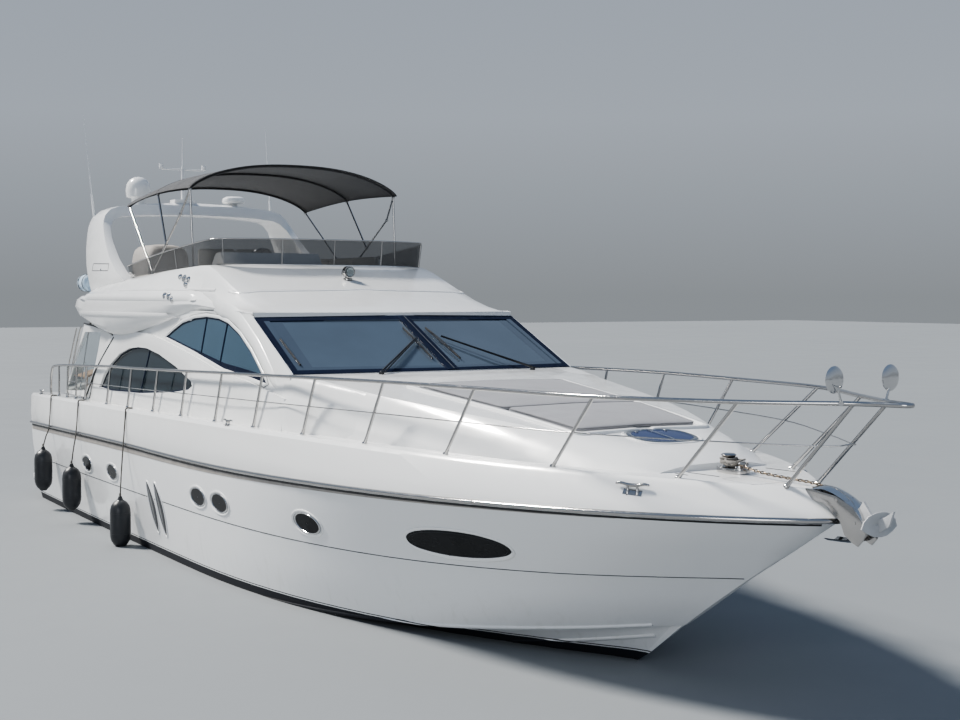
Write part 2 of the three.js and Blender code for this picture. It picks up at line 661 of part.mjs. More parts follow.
const arch = add('radar_arch', cut(
  prismX(hoop(ARCH_OUTER, ARCH_INNER), -7700, -4400).intersect(prismY(ARCH_SIDE, -3000, 3000)),
  flyLifted,
), GELCOAT);

// What the arch carries, each foot shaped to the arch's top
const ARCH_TOP = 5785;
const archLifted = arch.translate([0, 0, GAP]);
const seated = (...solids) => cut(join(...solids), archLifted);
add('satellite_dome', seated(turned(
  [[0, -150], [130, -150], [130, 60], [220, 85], [232, 210], [215, 320], [160, 410], [80, 455], [0, 468]],
  [-7160, -1070, ARCH_TOP], 20,
)), GELCOAT);
add('radar_scanner', seated(turned(
  [[0, -90], [80, -90], [70, 10], [205, 25], [225, 55], [215, 125], [150, 160], [0, 168]],
  [-7140, 820, ARCH_TOP], 20,
)), GELCOAT);
add('signal_mast', seated(
  box(-7260, -6980, -420, -20, ARCH_TOP - 90, ARCH_TOP + 60),
  rod([-7110, -220, ARCH_TOP + 30], [-7110, -220, 6480], 38, 10, 26),
  rod([-7110, -220, 6440], [-7110, -220, 7020], 13, 8, 6),
  rod([-7110, -640, 6420], [-7110, 200, 6420], 15, 8),
  turned([[0, 0], [42, 0], [42, 95], [0, 95]], [-7110, -640, 6420], 10),
  turned([[0, 0], [42, 0], [42, 95], [0, 95]], [-7110, 200, 6420], 10),
), GELCOAT);
Object.entries({ port: 1, starboard: -1 }).forEach(([label, side]) => {
  const ferrule = [-7680, side * 1800, 5930];
  add(`whip_antenna_${label}`, seated(
    rod([-7560, side * 1780, 5400], ferrule, 26, 8, 20),
    rod(ferrule, [-8000, side * 1850, 7430], 13, 6, 5),
  ), GELCOAT);
});

// Wind deflector: one bent sheet of acrylic on the coaming
const DEFLECTOR = [
  // x, half breadth, foot, top
  [-1080, 0, 4510, 4900], [-1130, 900, 4510, 4900], [-1230, 1500, 4500, 4895], [-1380, 1740, 4490, 4890],
  [-1700, 1850, 4485, 4860], [-2600, 1905, 4450, 4780], [-3700, 1930, 4405, 4680], [-5000, 1935, 4330, 4540],
];
function deflectorColumns() {
  const starboard = DEFLECTOR.slice(1).map(([x, y, z0, z1]) => [x, -y, z0, z1]);
  return [...starboard.reverse(), ...DEFLECTOR];
}
const DEFLECTOR_THICK = 12;
const DEFLECTOR_LEAN = 0.12;
function deflectorGrid(inset) {
  const columns = deflectorColumns();
  const row = (pick, lean) => columns.map((column, i) => {
    const before = columns[Math.max(0, i - 1)];
    const after = columns[Math.min(columns.length - 1, i + 1)];
    const tangent = new THREE.Vector2(after[0] - before[0], after[1] - before[1]).normalize();
    const out = inset + lean;
    return [column[0] + tangent.y * out, column[1] - tangent.x * out, column[pick]];
  });
  return [row(2, 0), row(3, DEFLECTOR_LEAN * 380)];
}
const deflector = slab(deflectorGrid(0), deflectorGrid(-DEFLECTOR_THICK));
add('wind_deflector', cut(deflector, flyLifted, arch.translate([0.5, 0, GAP])), SMOKED);

// Bimini: three bows, their legs, and the canopy over them
const BIMINI = { aft: -5800, fore: -2330, edgeAft: 5610, edgeFore: 5730, crown: 430 };
const CANOPY_THICK = 12;
const BOW_RADIUS = 14;
function canopyPoint(s, v, sink) {
  const x = BIMINI.aft + (BIMINI.fore - BIMINI.aft) * s;
  const half = 1720 + 110 * s - sink;
  const edge = BIMINI.edgeAft + (BIMINI.edgeFore - BIMINI.edgeAft) * s + 70 * Math.sin(Math.PI * s);
  const lift = (1 - Math.abs(v) ** 2.4) ** 0.75;
  return [x, half * v, edge - sink + (BIMINI.crown - 40 * (1 - s)) * lift];
}
function canopyGrid(sink) {
  const rows = [];
  for (let i = 0; i <= 8; i += 1) {
    const row = [];
    for (let j = 0; j <= 20; j += 1) {
      const v = Math.sin((Math.PI / 2) * (j / 10 - 1));
      row.push(canopyPoint(i / 8, v, sink));
    }
    rows.push(row);
  }
  return rows;
}
const canopy = add('bimini_canopy', slab(canopyGrid(0), canopyGrid(CANOPY_THICK)), CANVAS);
const BOW_SINK = CANOPY_THICK + BOW_RADIUS;
function bow(s) {
  const points = [];
  for (let j = 0; j <= 12; j += 1) {
    points.push(canopyPoint(s, Math.sin((Math.PI / 2) * (j / 6 - 1)), BOW_SINK));
  }
  return tube(points, BOW_RADIUS, 18, RAIL_SIDES);
}
const BOW_AT = { aft: 0.02, middle: 0.5, fore: 0.98 };
const FOOT_AFT = { x: -4180, y: 1815, z: 4400 };
const FOOT_FORE = { x: -2300, y: 1790, z: 4490 };
function biminiSide(side) {
  const end = (s) => canopyPoint(s, side, BOW_SINK);
  const foot = (f) => [f.x, side * f.y, f.z];
  const elbow = [-2720, side * 1845, 5330];
  return join(
    rod(foot(FOOT_AFT), end(BOW_AT.aft), BOW_RADIUS, RAIL_SIDES),
    rod(foot(FOOT_AFT), elbow, BOW_RADIUS, RAIL_SIDES),
    rod(elbow, end(BOW_AT.fore), BOW_RADIUS, RAIL_SIDES),
    rod([-3450, side * 1830, 4865], end(BOW_AT.middle), BOW_RADIUS, RAIL_SIDES),
    rod(foot(FOOT_FORE), end(BOW_AT.fore), BOW_RADIUS, RAIL_SIDES),
    turned([[0, -60], [34, -60], [34, 40], [0, 40]], foot(FOOT_AFT), 8),
    turned([[0, -60], [34, -60], [34, 40], [0, 40]], foot(FOOT_FORE), 8),
  );
}
add('bimini_frame', cut(
  join(bow(BOW_AT.aft), bow(BOW_AT.middle), bow(BOW_AT.fore), biminiSide(1), biminiSide(-1)),
  flyLifted,
  canopy.translate([0, 0, -GAP]),
), STEEL);

// Flybridge furniture
const flySole = FLY_SOLE + GAP;
add('fly_console', prismY(
  [[-2500, flySole], [-1950, flySole], [-1850, 4460], [-2050, 4720], [-2250, 4700], [-2500, 4450]], -1450, 250,
), GELCOAT);
add('fly_helm_seat', join(
  box(-3550, -3000, -1250, 50, flySole, 4350),
  box(-3600, -3480, -1250, 50, 4300, 4820),
), CUSHION);
add('fly_settee', prismX(
  SETTEE.map(([a, b]) => [1680 - a, flySole + 0.9 * b]), -6300, -2600,
), CUSHION);
add('fly_covered_seat', join(
  box(-6200, -5100, -1600, -750, flySole, 4500),
  turned([[0, 0], [420, 0], [400, 280], [250, 420], [0, 450]], [-5650, -1175, 4490], 14),
), CUSHION);
// Helm wheel, square to the sloping face of the console; its axis leans forward and down
const WHEEL = { x: -2460, y: -600, z: 4660, radius: 190, stem: 119.9 };
const WHEEL_TILT = Math.PI / 4;
add('helm_wheel', (() => {
  const ring = new THREE.TorusGeometry(WHEEL.radius, 14, 6, 22);
  ring.rotateY(-WHEEL_TILT);
  ring.translate(WHEEL.x, WHEEL.y, WHEEL.z);
  const at = (along2, across, up) => [
    WHEEL.x + along2 * Math.cos(WHEEL_TILT) + up * Math.sin(WHEEL_TILT),
    WHEEL.y + across,
    WHEEL.z - along2 * Math.sin(WHEEL_TILT) + up * Math.cos(WHEEL_TILT),
  ];
  const hub = rod(at(-25, 0, 0), at(WHEEL.stem, 0, 0), 32, 10);
  const spokes = [0, 1, 2].map((i) => {
    const angle = (2 * Math.PI * i) / 3;
    return rod(at(0, 0, 0), at(0, WHEEL.radius * Math.sin(angle), WHEEL.radius * Math.cos(angle)), 9, 6);
  });
  return join(solidOf(ring), hub, ...spokes);
})(), STEEL);

// Ladder from the cockpit to the flybridge
add('flybridge_ladder', (() => {
  const [low, high] = [[-8650, COCKPIT_SOLE + GAP], [-7550, 3900]];
  const rails = [760, 1390].map((y) => slab(
    [[[low[0] - 60, y - 15, low[1]], [high[0] - 60, y - 15, high[1]]],
      [[low[0] - 60, y + 15, low[1]], [high[0] - 60, y + 15, high[1]]]],
    [[[low[0] + 90, y - 15, low[1]], [high[0] + 90, y - 15, high[1]]],
      [[low[0] + 90, y + 15, low[1]], [high[0] + 90, y + 15, high[1]]]],
  ));
  const treads = [1, 2, 3, 4, 5, 6, 7, 8].map((i) => {
    const x = low[0] + ((high[0] - low[0]) * i) / 9;
    const z = low[1] + ((high[1] - low[1]) * i) / 9;
    return box(x - 70, x + 130, 760, 1390, z - 15, z + 15);
  });
  return join(...rails, ...treads);
})(), STEEL);
add('stowage_roll', cut(rod([-7850, -1900, 4262], [-7350, -1900, 4262], 165, 14), flyLifted), CANVAS_BLUE);

// Cockpit
add('cockpit_seat', prismY(
  [[-9330, COCKPIT_SOLE + GAP], [-8750, COCKPIT_SOLE + GAP], [-8750, 2080], [-9150, 2100], [-9210, 2420],
    [-9330, 2420]], -1200, 600,
), CUSHION);
add('cockpit_table', join(
  box(-8450, -7850, -1000, 300, 2330, 2370),
  rod([-8150, -350, COCKPIT_SOLE + GAP], [-8150, -350, 2340], 50, 12),
), TEAK);
add('cockpit_hatch', box(
  SOLE_HATCH.x0 + 6, SOLE_HATCH.x1 - 6, -SOLE_HATCH.half + 6, SOLE_HATCH.half - 6,
  COCKPIT_SOLE - SOLE_HATCH.depth + GAP, COCKPIT_SOLE,
), TEAK);
// Gate leaf with two hinge barrels that bear on the jamb
const GATE_X = TRANSOM_X + 60;
const GATE_EDGE = 8;
const gateBarrel = (z) => rod(
  [GATE_X, GATE.outer + GATE_EDGE, z], [GATE_X, GATE.outer + GATE_EDGE, z + 90], GATE_EDGE - GAP, 12,
);
add('transom_gate', join(
  box(GATE_X, GATE_X + 50, GATE.outer + GATE_EDGE, GATE.inner - GATE_EDGE, COCKPIT_SOLE + 12, 2080),
  gateBarrel(1720),
  gateBarrel(1950),
), GELCOAT);
Object.entries({ port: 1, starboard: -1 }).forEach(([label, side]) => {
  add(`overhang_pillar_${label}`, cut(
    rod([-7050, side * 2200, 2000], [-6700, side * 2080, 4000], 30, 10),
    deckLifted,
    fly.translate([0, 0, -GAP]),
  ), STEEL);
});

// Swimming platform and the steps down to it
const PLATFORM = { aft: -10750, z0: 300, z1: 410, half: 2250 };
add('swim_platform', join(
  prismZ(
    roundedRectangle(PLATFORM.aft, TRANSOM_X - GAP + 500, -PLATFORM.half, PLATFORM.half, 420),
    PLATFORM.z0, PLATFORM.z1,
  ).intersect(box(-11000, TRANSOM_X - GAP, -3000, 3000, 0, 1000)),
  prismY([[TRANSOM_X - GAP, 350], [TRANSOM_X - 900, 350], [TRANSOM_X - 900, 700], [TRANSOM_X - 600, 700],
    [TRANSOM_X - 600, 1000], [TRANSOM_X - 300, 1000], [TRANSOM_X - 300, 1320], [TRANSOM_X - GAP, 1320]],
  GATE.outer, GATE.inner),
), GELCOAT);

// Rubbing strake round both sides and the bow: section as [outward, height] from the hull's widest line
const STRAKE_OUT = 40;
const STRAKE = [[0.4, 0], [3.4, 27], [30, 22], [STRAKE_OUT, 0], [30, -22], [3.4, -27]];
add('rubbing_strake', (() => {
  const port = hullStations.map((u) => linePoint(RUB, u));
  const path = [...port, ...port.map(([x, y, z]) => [x, -y, z]).reverse()];
  const ring = STRAKE.length;
  const points = path.flatMap(([x, y, z], i) => {
    const before = path[Math.max(0, i - 1)];
    const after = path[Math.min(path.length - 1, i + 1)];
    const way = new THREE.Vector2(after[0] - before[0], after[1] - before[1]).normalize();
    return STRAKE.map(([out, up]) => [x - way.y * out, y + way.x * out, z + up]);
  });
  const index = [];
  for (let i = 0; i + 1 < path.length; i += 1) {
    for (let j = 0; j < ring; j += 1) {
      const [a, b] = [i * ring + j, i * ring + ((j + 1) % ring)];
      index.push(a, b + ring, b, a, a + ring, b + ring);
    }
  }
  const end = (path.length - 1) * ring;
  for (let j = 1; j + 1 < ring; j += 1) index.push(0, j, j + 1, end, end + j + 1, end + j);
  return solidFrom(points, index);
})(), STEEL);

// Guard rail: top rail, stanchions and middle rail on both sides, joined at the pulpit
// Stanchions: foot x, top x, top half breadth, top height
const STANCHIONS = [
  [-4960, -4880, 2330, 2820], [-3790, -3700, 2345, 2845], [-2510, -2390, 2350, 2880],
  [-1230, -1090, 2350, 2915], [150, 320, 2350, 2955], [1480, 1700, 2325, 2990], [2870, 3150, 2235, 3020],
  [4260, 4630, 2060, 3045], [5660, 6110, 1830, 3055], [7290, 7985, 1500, 3060], [8460, 9290, 795, 3065],
  [9340, 10180, 220, 3085],
];
const RAIL_AFT = [[-8700, 2330, 2250], [-8620, 2330, 2560], [-8300, 2330, 2690], [-6600, 2330, 2760]];
const PULPIT_TIP = [10650, 0, 3090];
const FOOT_INSET = 160;
function footOf([x]) {
  return [x, Math.max(200, halfBreadth(GUNWALE, x) - FOOT_INSET), along(GUNWALE.z, x) - 40];
}
const guardRail = add('guard_rail', (() => {
  const sides = [1, -1].map((side) => {
    const at = ([x, y, z]) => [x, side * y, z];
    const top = [...RAIL_AFT, ...STANCHIONS.map(([, x, y, z]) => [x, y, z])];
    const posts = STANCHIONS.map((row) => rod(at(footOf(row)), at(row.slice(1)), POST_RADIUS, RAIL_SIDES));
    const extra = [-8100, -7500, -6900, -6300].map(
      (x) => rod(
        at(footOf([x])), at([x, 2330, along(top.map((p) => [p[0], p[2]]), x)]), POST_RADIUS, RAIL_SIDES,
      ),
    );
    const wire = STANCHIONS.map((row) => {
      const foot = footOf(row);
      return at([0, 1, 2].map((i) => foot[i] + (row[i + 1] - foot[i]) * 0.5));
    });
    return { top: top.map(at), posts: [...posts, ...extra], wire };
  });
  const rail = [...sides[0].top, PULPIT_TIP, ...[...sides[1].top].reverse()];
  const middle = [...sides[0].wire, [9950, 0, 2690], ...[...sides[1].wire].reverse()];
  return cut(join(
    tube(rail, RAIL_RADIUS, 84, RAIL_SIDES),
    tube(middle, 8, 46, 4),
    ...sides.flatMap((side) => side.posts),
  ), deckLifted);
})(), STEEL);
// Round mirrors on short posts on the pulpit's top rail
const MIRROR = { x: 10090, y: 285, z: 3083, out: 70, radius: 125, thick: 40, height: 215, turn: 0.28 };
Object.entries({ port: 1, starboard: -1 }).forEach(([label, side]) => {
  const disc = new THREE.CylinderGeometry(MIRROR.radius, MIRROR.radius, MIRROR.thick, 20);
  disc.rotateZ(-Math.PI / 2);
  disc.rotateZ(MIRROR.turn);
  const top = [MIRROR.x, side * (MIRROR.y + MIRROR.out), MIRROR.z + MIRROR.height];
  disc.translate(...top);
  add(`docking_mirror_${label}`, cut(join(
    solidOf(disc),
    rod([MIRROR.x, side * MIRROR.y, MIRROR.z + 11], top, 14),
  ), guardRail.translate([0, 0, GAP])), STEEL);
});

// Foredeck fittings
const FOREDECK_Z = along(GUNWALE.z, 8300) + GAP;
add('windlass', cut(join(
  prismZ(ellipse(210, 130, 8330, 0), FOREDECK_Z - 20, FOREDECK_Z + 55),
  turned([[0, 0], [60, 0], [60, 70], [0, 70]], [8440, 0, FOREDECK_Z + 50], 12),
), deckLifted), STEEL);
add('windlass_drum', turned(
  [[0, 0], [75, 0], [50, 45], [50, 75], [82, 120], [60, 135], [0, 138]], [8260, 0, FOREDECK_Z + 55 + GAP], 16,
), STEEL);
add('bow_roller', cut(join(
  prismY([[9150, 2235], [9700, 2225], [10050, 2120], [10230, 1900], [10130, 1760], [9960, 1850], [9900, 1985],
    [9700, 2130], [9150, 2150]], -95, 95),
), deckLifted, deck.translate([GAP, 0, 0]), box(9100, 10120, -60, 60, 2170, 2300)), STEEL);
add('anchor', join(
  prismY([[10050.5, 2120.5], [10230.5, 1900.5], [10260, 1890], [10420, 1980], [10480, 2140], [10400, 2090],
    [10270, 2010], [10110, 2190]], -16, 16),
  prismX([[-230, 1960], [0, 1880], [230, 1960], [150, 2080], [0, 2110], [-150, 2080]], 10290, 10316),
), STEEL);
add('foredeck_hatch', hatchPlate(4, -HATCH.lid, 6), GLASS);
const SUNPAD_THICK = 60;
const TRUNK_TOP = TRUNK.map(([x, z]) => [x, z]);
function sunpad(x0, x1, half0, half1) {
  const rows = [x0, (x0 + x1) / 2, x1].map((x, i) => {
    const half = half0 + ((half1 - half0) * i) / 2;
    return [-1, -0.5, 0, 0.5, 1].map((v) => [x, v * half, along(TRUNK_TOP, x)]);
  });
  const lift = (z) => rows.map((row) => row.map((p) => [p[0], p[1], p[2] + z]));
  return cut(slab(lift(SUNPAD_THICK), lift(-40)), deckLifted);
}
add('sunpad_aft', sunpad(3650, 5490, 1100, 960), CUSHION);
add('sunpad_fore', sunpad(5510, 6780, 955, 820), CUSHION);
// Searchlight on the roof brow
add('searchlight', (() => {
  const x = -480;
  const foot = turned([[0, 0], [75, 0], [60, 70], [0, 70]], [x, 0, 4255], 12);
  const head = new THREE.SphereGeometry(85, 14, 10);
  head.translate(x, 0, 4400);
  return cut(join(foot, solidOf(head)), flyLifted);
})(), STEEL);

// Fenders hung over the starboard side: x, height of the middle, clearance to the knuckle
const FENDERS = { forward: [-3350, 370, 6], middle: [-6130, 620, 34], aft: [-8040, 750, 62] };
const FENDER_RADIUS = 165;
const LANYARD_RADIUS = 9;
Object.entries(FENDERS).forEach(([label, [x, z, clear]]) => {
  const y = -(halfBreadth(KNUCKLE, x) + FENDER_RADIUS + clear);
  const strakeY = -(halfBreadth(RUB, x) + STRAKE_OUT + LANYARD_RADIUS + 1);
  const strakeZ = along(RUB.z, x);
  const edgeY = -(halfBreadth(GUNWALE, x) + LANYARD_RADIUS + 3);
  const deckZ = along(GUNWALE.z, x) + LANYARD_RADIUS + GAP;
  add(`fender_${label}`, join(
    turned([[0, -400], [70, -380], [150, -290], [FENDER_RADIUS, -180], [FENDER_RADIUS, 180], [150, 290],
      [70, 380], [0, 400]], [x, y, z], 14),
    rod([x, y, z + 390], [x, strakeY, strakeZ], LANYARD_RADIUS, 6),
    rod([x, strakeY, strakeZ - 5], [x, edgeY, deckZ - 70], LANYARD_RADIUS, 6),
    rod([x, edgeY, deckZ - 75], [x, edgeY, deckZ - 45], LANYARD_RADIUS, 6),
    rod([x, edgeY, deckZ - 48], [x, edgeY + 55, deckZ + 3], LANYARD_RADIUS, 6),
    rod([x, edgeY + 50, deckZ], [x, edgeY + 115, deckZ], LANYARD_RADIUS, 6),
  ), RUBBER);
});

// Running gear: shafts, propellers, brackets and rudders
const BLADES = 4;
function blade(angle) {
  const rows = [0.16, 0.4, 0.65, 0.85, 1].map((f) => {
    const r = PROP_RADIUS * f;
    const width = PROP_RADIUS * (0.34 + 0.4 * Math.sin(Math.PI * f * 0.9)) * (f === 1 ? 0.35 : 1);
    const pitch = Math.atan2(0.95, 2 * Math.PI * f * 0.9);
    return [-1, 0, 1].map((v) => {
      const sweep = (v * width) / (2 * Math.max(r, 120));
      const turn = angle + sweep * Math.cos(pitch);
      return [v * 0.5 * width * Math.sin(pitch), r * Math.cos(turn), r * Math.sin(turn)];
    });
  });
  const thick = (shift) => rows.map((row) => row.map(([x, y, z]) => [x + shift, y, z]));
  return slab(thick(7), thick(-7));
}
function propeller(side) {
  const hub = solidOf(new THREE.CylinderGeometry(62, 80, 230, 14).rotateZ(Math.PI / 2));
  const cone = solidOf(new THREE.CylinderGeometry(62, 20, 110, 14).rotateZ(-Math.PI / 2).translate(-160, 0, 0));
  const blades = Array.from({ length: BLADES }, (_, i) => blade((2 * Math.PI * i) / BLADES + 0.4));
  const shaftFront = SHAFT_FRONT_X - PROP_X;
  const shaft = rod([0, 0, 0], [shaftFront * Math.hypot(1, SHAFT_SLOPE), 0, 0], SHAFT_RADIUS, BEARING_SIDES);
  const tilt = (-Math.atan(SHAFT_SLOPE) * 180) / Math.PI;
  return join(hub, cone, shaft, ...blades).rotate([0, tilt, 0]).translate([PROP_X, side * PROP_Y, PROP_Z]);
}
Object.entries({ port: 1, starboard: -1 }).forEach(([label, side]) => {
  add(`propeller_${label}`, propeller(side), BRONZE);
  const eye = (x) => shaftLine(side, x);
  const strutX = PROP_X + 330;
  const leg = (y) => slab(
    [[[strutX - 90, side * PROP_Y + y - 11, -330], [strutX + 110, side * PROP_Y + y - 11, -330]],
      [[strutX - 70, side * PROP_Y - 11, PROP_Z + 40], [strutX + 70, side * PROP_Y - 11, PROP_Z + 40]]],
    [[[strutX - 90, side * PROP_Y + y + 11, -330], [strutX + 110, side * PROP_Y + y + 11, -330]],
      [[strutX - 70, side * PROP_Y + 11, PROP_Z + 40], [strutX + 70, side * PROP_Y + 11, PROP_Z + 40]]],
  );
  add(`shaft_bracket_${label}`, cut(
    join(rod(eye(strutX - 100), eye(strutX + 110), 62, 14), leg(0)),
    rod(eye(strutX - 300), eye(strutX + 300), bearing(SHAFT_RADIUS), BEARING_SIDES),
    hull.translate([0, 0, -GAP]),
  ), BRONZE);
  add(`rudder_${label}`, join(
    rod([RUDDER_X, side * PROP_Y, -1180], [RUDDER_X, side * PROP_Y, RUDDER_STOCK_TOP], RUDDER_STOCK, BEARING_SIDES),
    prismZ([[-9330, 0], [-9200, 22], [-9050, 34], [-8900, 30], [-8830, 0], [-8900, -30], [-9050, -34], [-9200, -22]]
      .map(([x, y]) => [x, y + side * PROP_Y]), -1270, -560),
  ), BRONZE);
});

export default yacht;
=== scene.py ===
# Flybridge motor yacht afloat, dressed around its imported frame.
# Metres: X forward from amidships, Y to port, Z up from the waterline.
import json
import math
import random

import bmesh
import bpy
from mathutils import Matrix, Vector
from mathutils.bvhtree import BVHTree

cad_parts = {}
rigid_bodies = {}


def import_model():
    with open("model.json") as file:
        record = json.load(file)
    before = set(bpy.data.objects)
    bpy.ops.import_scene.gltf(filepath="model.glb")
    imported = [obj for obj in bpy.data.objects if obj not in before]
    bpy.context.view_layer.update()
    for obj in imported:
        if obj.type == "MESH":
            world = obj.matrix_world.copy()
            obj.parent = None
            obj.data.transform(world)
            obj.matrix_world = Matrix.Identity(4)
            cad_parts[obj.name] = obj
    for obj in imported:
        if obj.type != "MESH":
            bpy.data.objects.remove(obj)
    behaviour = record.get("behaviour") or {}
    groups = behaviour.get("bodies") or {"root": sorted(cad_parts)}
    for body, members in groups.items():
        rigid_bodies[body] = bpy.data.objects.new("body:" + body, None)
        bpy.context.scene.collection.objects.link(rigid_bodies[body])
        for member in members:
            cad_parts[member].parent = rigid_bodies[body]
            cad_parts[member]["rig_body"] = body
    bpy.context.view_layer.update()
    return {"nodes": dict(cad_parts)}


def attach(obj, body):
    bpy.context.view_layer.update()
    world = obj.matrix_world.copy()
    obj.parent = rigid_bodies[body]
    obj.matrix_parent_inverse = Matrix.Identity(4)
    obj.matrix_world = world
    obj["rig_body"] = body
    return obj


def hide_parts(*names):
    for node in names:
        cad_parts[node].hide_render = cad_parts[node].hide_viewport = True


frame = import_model()
NODES = frame["nodes"]
SIDES = {"port": 1, "starboard": -1}
AHEAD, ABEAM, UP = Vector((1, 0, 0)), Vector((0, 1, 0)), Vector((0, 0, 1))

# Camera
CAMERA_AT = Vector((19.50, -9.83, 4.05))
YAW, PITCH, ROLL = (math.radians(a) for a in (148.6, -2.56, 0.12))
FOCAL_PX = 1451
FRAME_PX = 960
SENSOR = 36
FAR_CLIP = 400


def in_scene(name, data):
    made = bpy.data.objects.new(name, data)
    bpy.context.scene.collection.objects.link(made)
    return made


def make_camera():
    data = bpy.data.cameras.new("camera")
    data.sensor_width = SENSOR
    data.lens = SENSOR * FOCAL_PX / FRAME_PX
    data.clip_end = FAR_CLIP
    camera = in_scene("camera", data)
    forward = Vector((math.cos(YAW) * math.cos(PITCH), math.sin(YAW) * math.cos(PITCH), math.sin(PITCH)))
    right = Vector((math.sin(YAW), -math.cos(YAW), 0))
    up = right.cross(forward)
    tilted_right = right * math.cos(ROLL) + up * math.sin(ROLL)
    tilted_up = up * math.cos(ROLL) - right * math.sin(ROLL)
    turn = Matrix((tilted_right, tilted_up, -forward)).transposed()
    camera.matrix_world = Matrix.Translation(CAMERA_AT) @ turn.to_4x4()
    bpy.context.scene.camera = camera


make_camera()

# Soft light
WORLD_STRENGTH = 0.60
WORLD_STOPS = [(0.0, (0.42, 0.45, 0.48, 1)), (0.12, (0.60, 0.66, 0.74, 1)), (0.75, (0.34, 0.45, 0.64, 1))]


def make_light(name, kind, power, colour, way, at=(0, 0, 0), **settings):
    data = bpy.data.lights.new(name, kind)
    data.energy = power
    data.color = colour
    for key, value in settings.items():
        setattr(data, key, value)
    turn = Vector(way).to_track_quat("-Z", "Y").to_matrix().to_4x4()
    in_scene(name, data).matrix_world = Matrix.Translation(at) @ turn


def make_world():
    world = bpy.data.worlds.new("studio")
    bpy.context.scene.world = world
    world.use_nodes = True
    nodes, links = world.node_tree.nodes, world.node_tree.links
    nodes.clear()
    out, back, place, split, ramp = (nodes.new("ShaderNode" + kind) for kind in (
        "OutputWorld", "Background", "TexCoord", "SeparateXYZ", "ValToRGB"))
    stops = ramp.color_ramp.elements
    stops.new(WORLD_STOPS[1][0])
    for stop, (position, colour) in zip(stops, WORLD_STOPS):
        stop.position = position
        stop.color = colour
    links.new(place.outputs["Generated"], split.inputs[0])
    links.new(split.outputs["Z"], ramp.inputs["Fac"])
    links.new(ramp.outputs["Color"], back.inputs["Color"])
    back.inputs["Strength"].default_value = WORLD_STRENGTH
    links.new(back.outputs[0], out.inputs["Surface"])


make_world()
make_light("sun", "SUN", 6.2, (1.0, 0.965, 0.91), (0.55, 0.42, -0.78), angle=math.radians(11))
make_light("fill", "AREA", 2400, (0.95, 0.97, 1.0), (-24, 30, -8), (24, -30, 10), shape="DISK", size=16)
bpy.context.scene.view_settings.look = "AgX - Medium High Contrast"


# Node materials
class Shader:
    def __init__(self, name, colour, roughness, metallic=0.0, **sockets):
        self.material = bpy.data.materials.new(name)
        self.material.use_nodes = True
        self.tree = self.material.node_tree
        self.bsdf = self.tree.nodes["Principled BSDF"]
        self.colour = colour
        self.set(self.bsdf, Base_Color=(*colour, 1), Roughness=roughness, Metallic=metallic, **sockets)
        self.coordinates = self.tree.nodes.new("ShaderNodeTexCoord").outputs["Object"]
        self.height = None

    def set(self, node, **sockets):
        for key, value in sockets.items():
            node.inputs[key.replace("_", " ")].default_value = value

    def add(self, kind, **settings):
        node = self.tree.nodes.new("ShaderNode" + kind)
        for key, value in settings.items():
            setattr(node, key, value)
        return node

    def link(self, source, target):
        self.tree.links.new(source, target)

    def feed(self, socket, value):
        """Links a socket to another one, or sets it to a number or colour."""
        if isinstance(value, tuple):
            socket.default_value = (*value, 1)
        elif isinstance(value, (int, float)):
            socket.default_value = value
        else:
            self.link(value, socket)

    def split(self, source, axis):
        node = self.add("SeparateXYZ")
        self.link(source, node.inputs["Vector"])
        return node.outputs[axis]

    def noise(self, scale, detail=3.0, stretch=(1, 1, 1)):
        node = self.add("TexNoise")
        self.set(node, Scale=scale, Detail=detail)
        mapping = self.add("Mapping")
        self.set(mapping, Scale=stretch)
        self.link(self.coordinates, mapping.inputs["Vector"])
        self.link(mapping.outputs["Vector"], node.inputs["Vector"])
        return node.outputs["Fac"]

    def wave(self, scale, axis):
        node = self.add("TexWave", bands_direction=axis, wave_profile="SIN")
        self.set(node, Scale=scale, Distortion=0.0)
        self.link(self.coordinates, node.inputs["Vector"])
        return node.outputs["Fac"]

    def ranged(self, factor, low, high, start=0.0, end=1.0):
        node = self.add("MapRange")
        self.set(node, From_Min=start, From_Max=end, To_Min=low, To_Max=high)
        self.link(factor, node.inputs["Value"])
        return node.outputs["Result"]

    def math(self, operation, a, b=None):
        node = self.add("Math", operation=operation)
        for socket, value in zip(node.inputs, (a,) if b is None else (a, b)):
            self.feed(socket, value)
        return node.outputs["Value"]

    def mix(self, factor, a, b):
        node = self.add("Mix", data_type="RGBA")
        self.link(factor, node.inputs[0])
        self.feed(node.inputs[6], a)
        self.feed(node.inputs[7], b)
        return node.outputs[2]

    def paint(self, colour):
        self.link(colour, self.bsdf.inputs["Base Color"])
        return self

    def vary(self, scale, dark, light, detail=3.0):
        factor = self.ranged(self.noise(scale, detail), 0, 1, 0.3, 0.7)
        return self.paint(self.mix(factor, *(tuple(c * k for c in self.colour) for k in (dark, light))))

    def rough(self, scale, low, high, detail=3.0, stretch=(1, 1, 1)):
        factor = self.ranged(self.noise(scale, detail, stretch), low, high, 0.3, 0.7)
        self.link(factor, self.bsdf.inputs["Roughness"])
        return self

    def bump(self, height, distance, strength=1.0):
        node = self.add("Bump")
        self.set(node, Distance=distance, Strength=strength)
        self.link(height, node.inputs["Height"])
        if self.height is not None:
            self.link(self.height, node.inputs["Normal"])
        self.height = node.outputs["Normal"]
        self.link(self.height, self.bsdf.inputs["Normal"])
        return self


def gelcoat(name, colour):
    made = Shader(name, colour, 0.2, Coat_Weight=0.5, Coat_Roughness=0.05)
    made.vary(0.9, 0.965, 1.0, 4).rough(5, 0.17, 0.27)
    made.bump(made.noise(1.6, 1), 0.004, 0.25)
    return made.bump(made.noise(220, 2), 0.0002, 0.3)


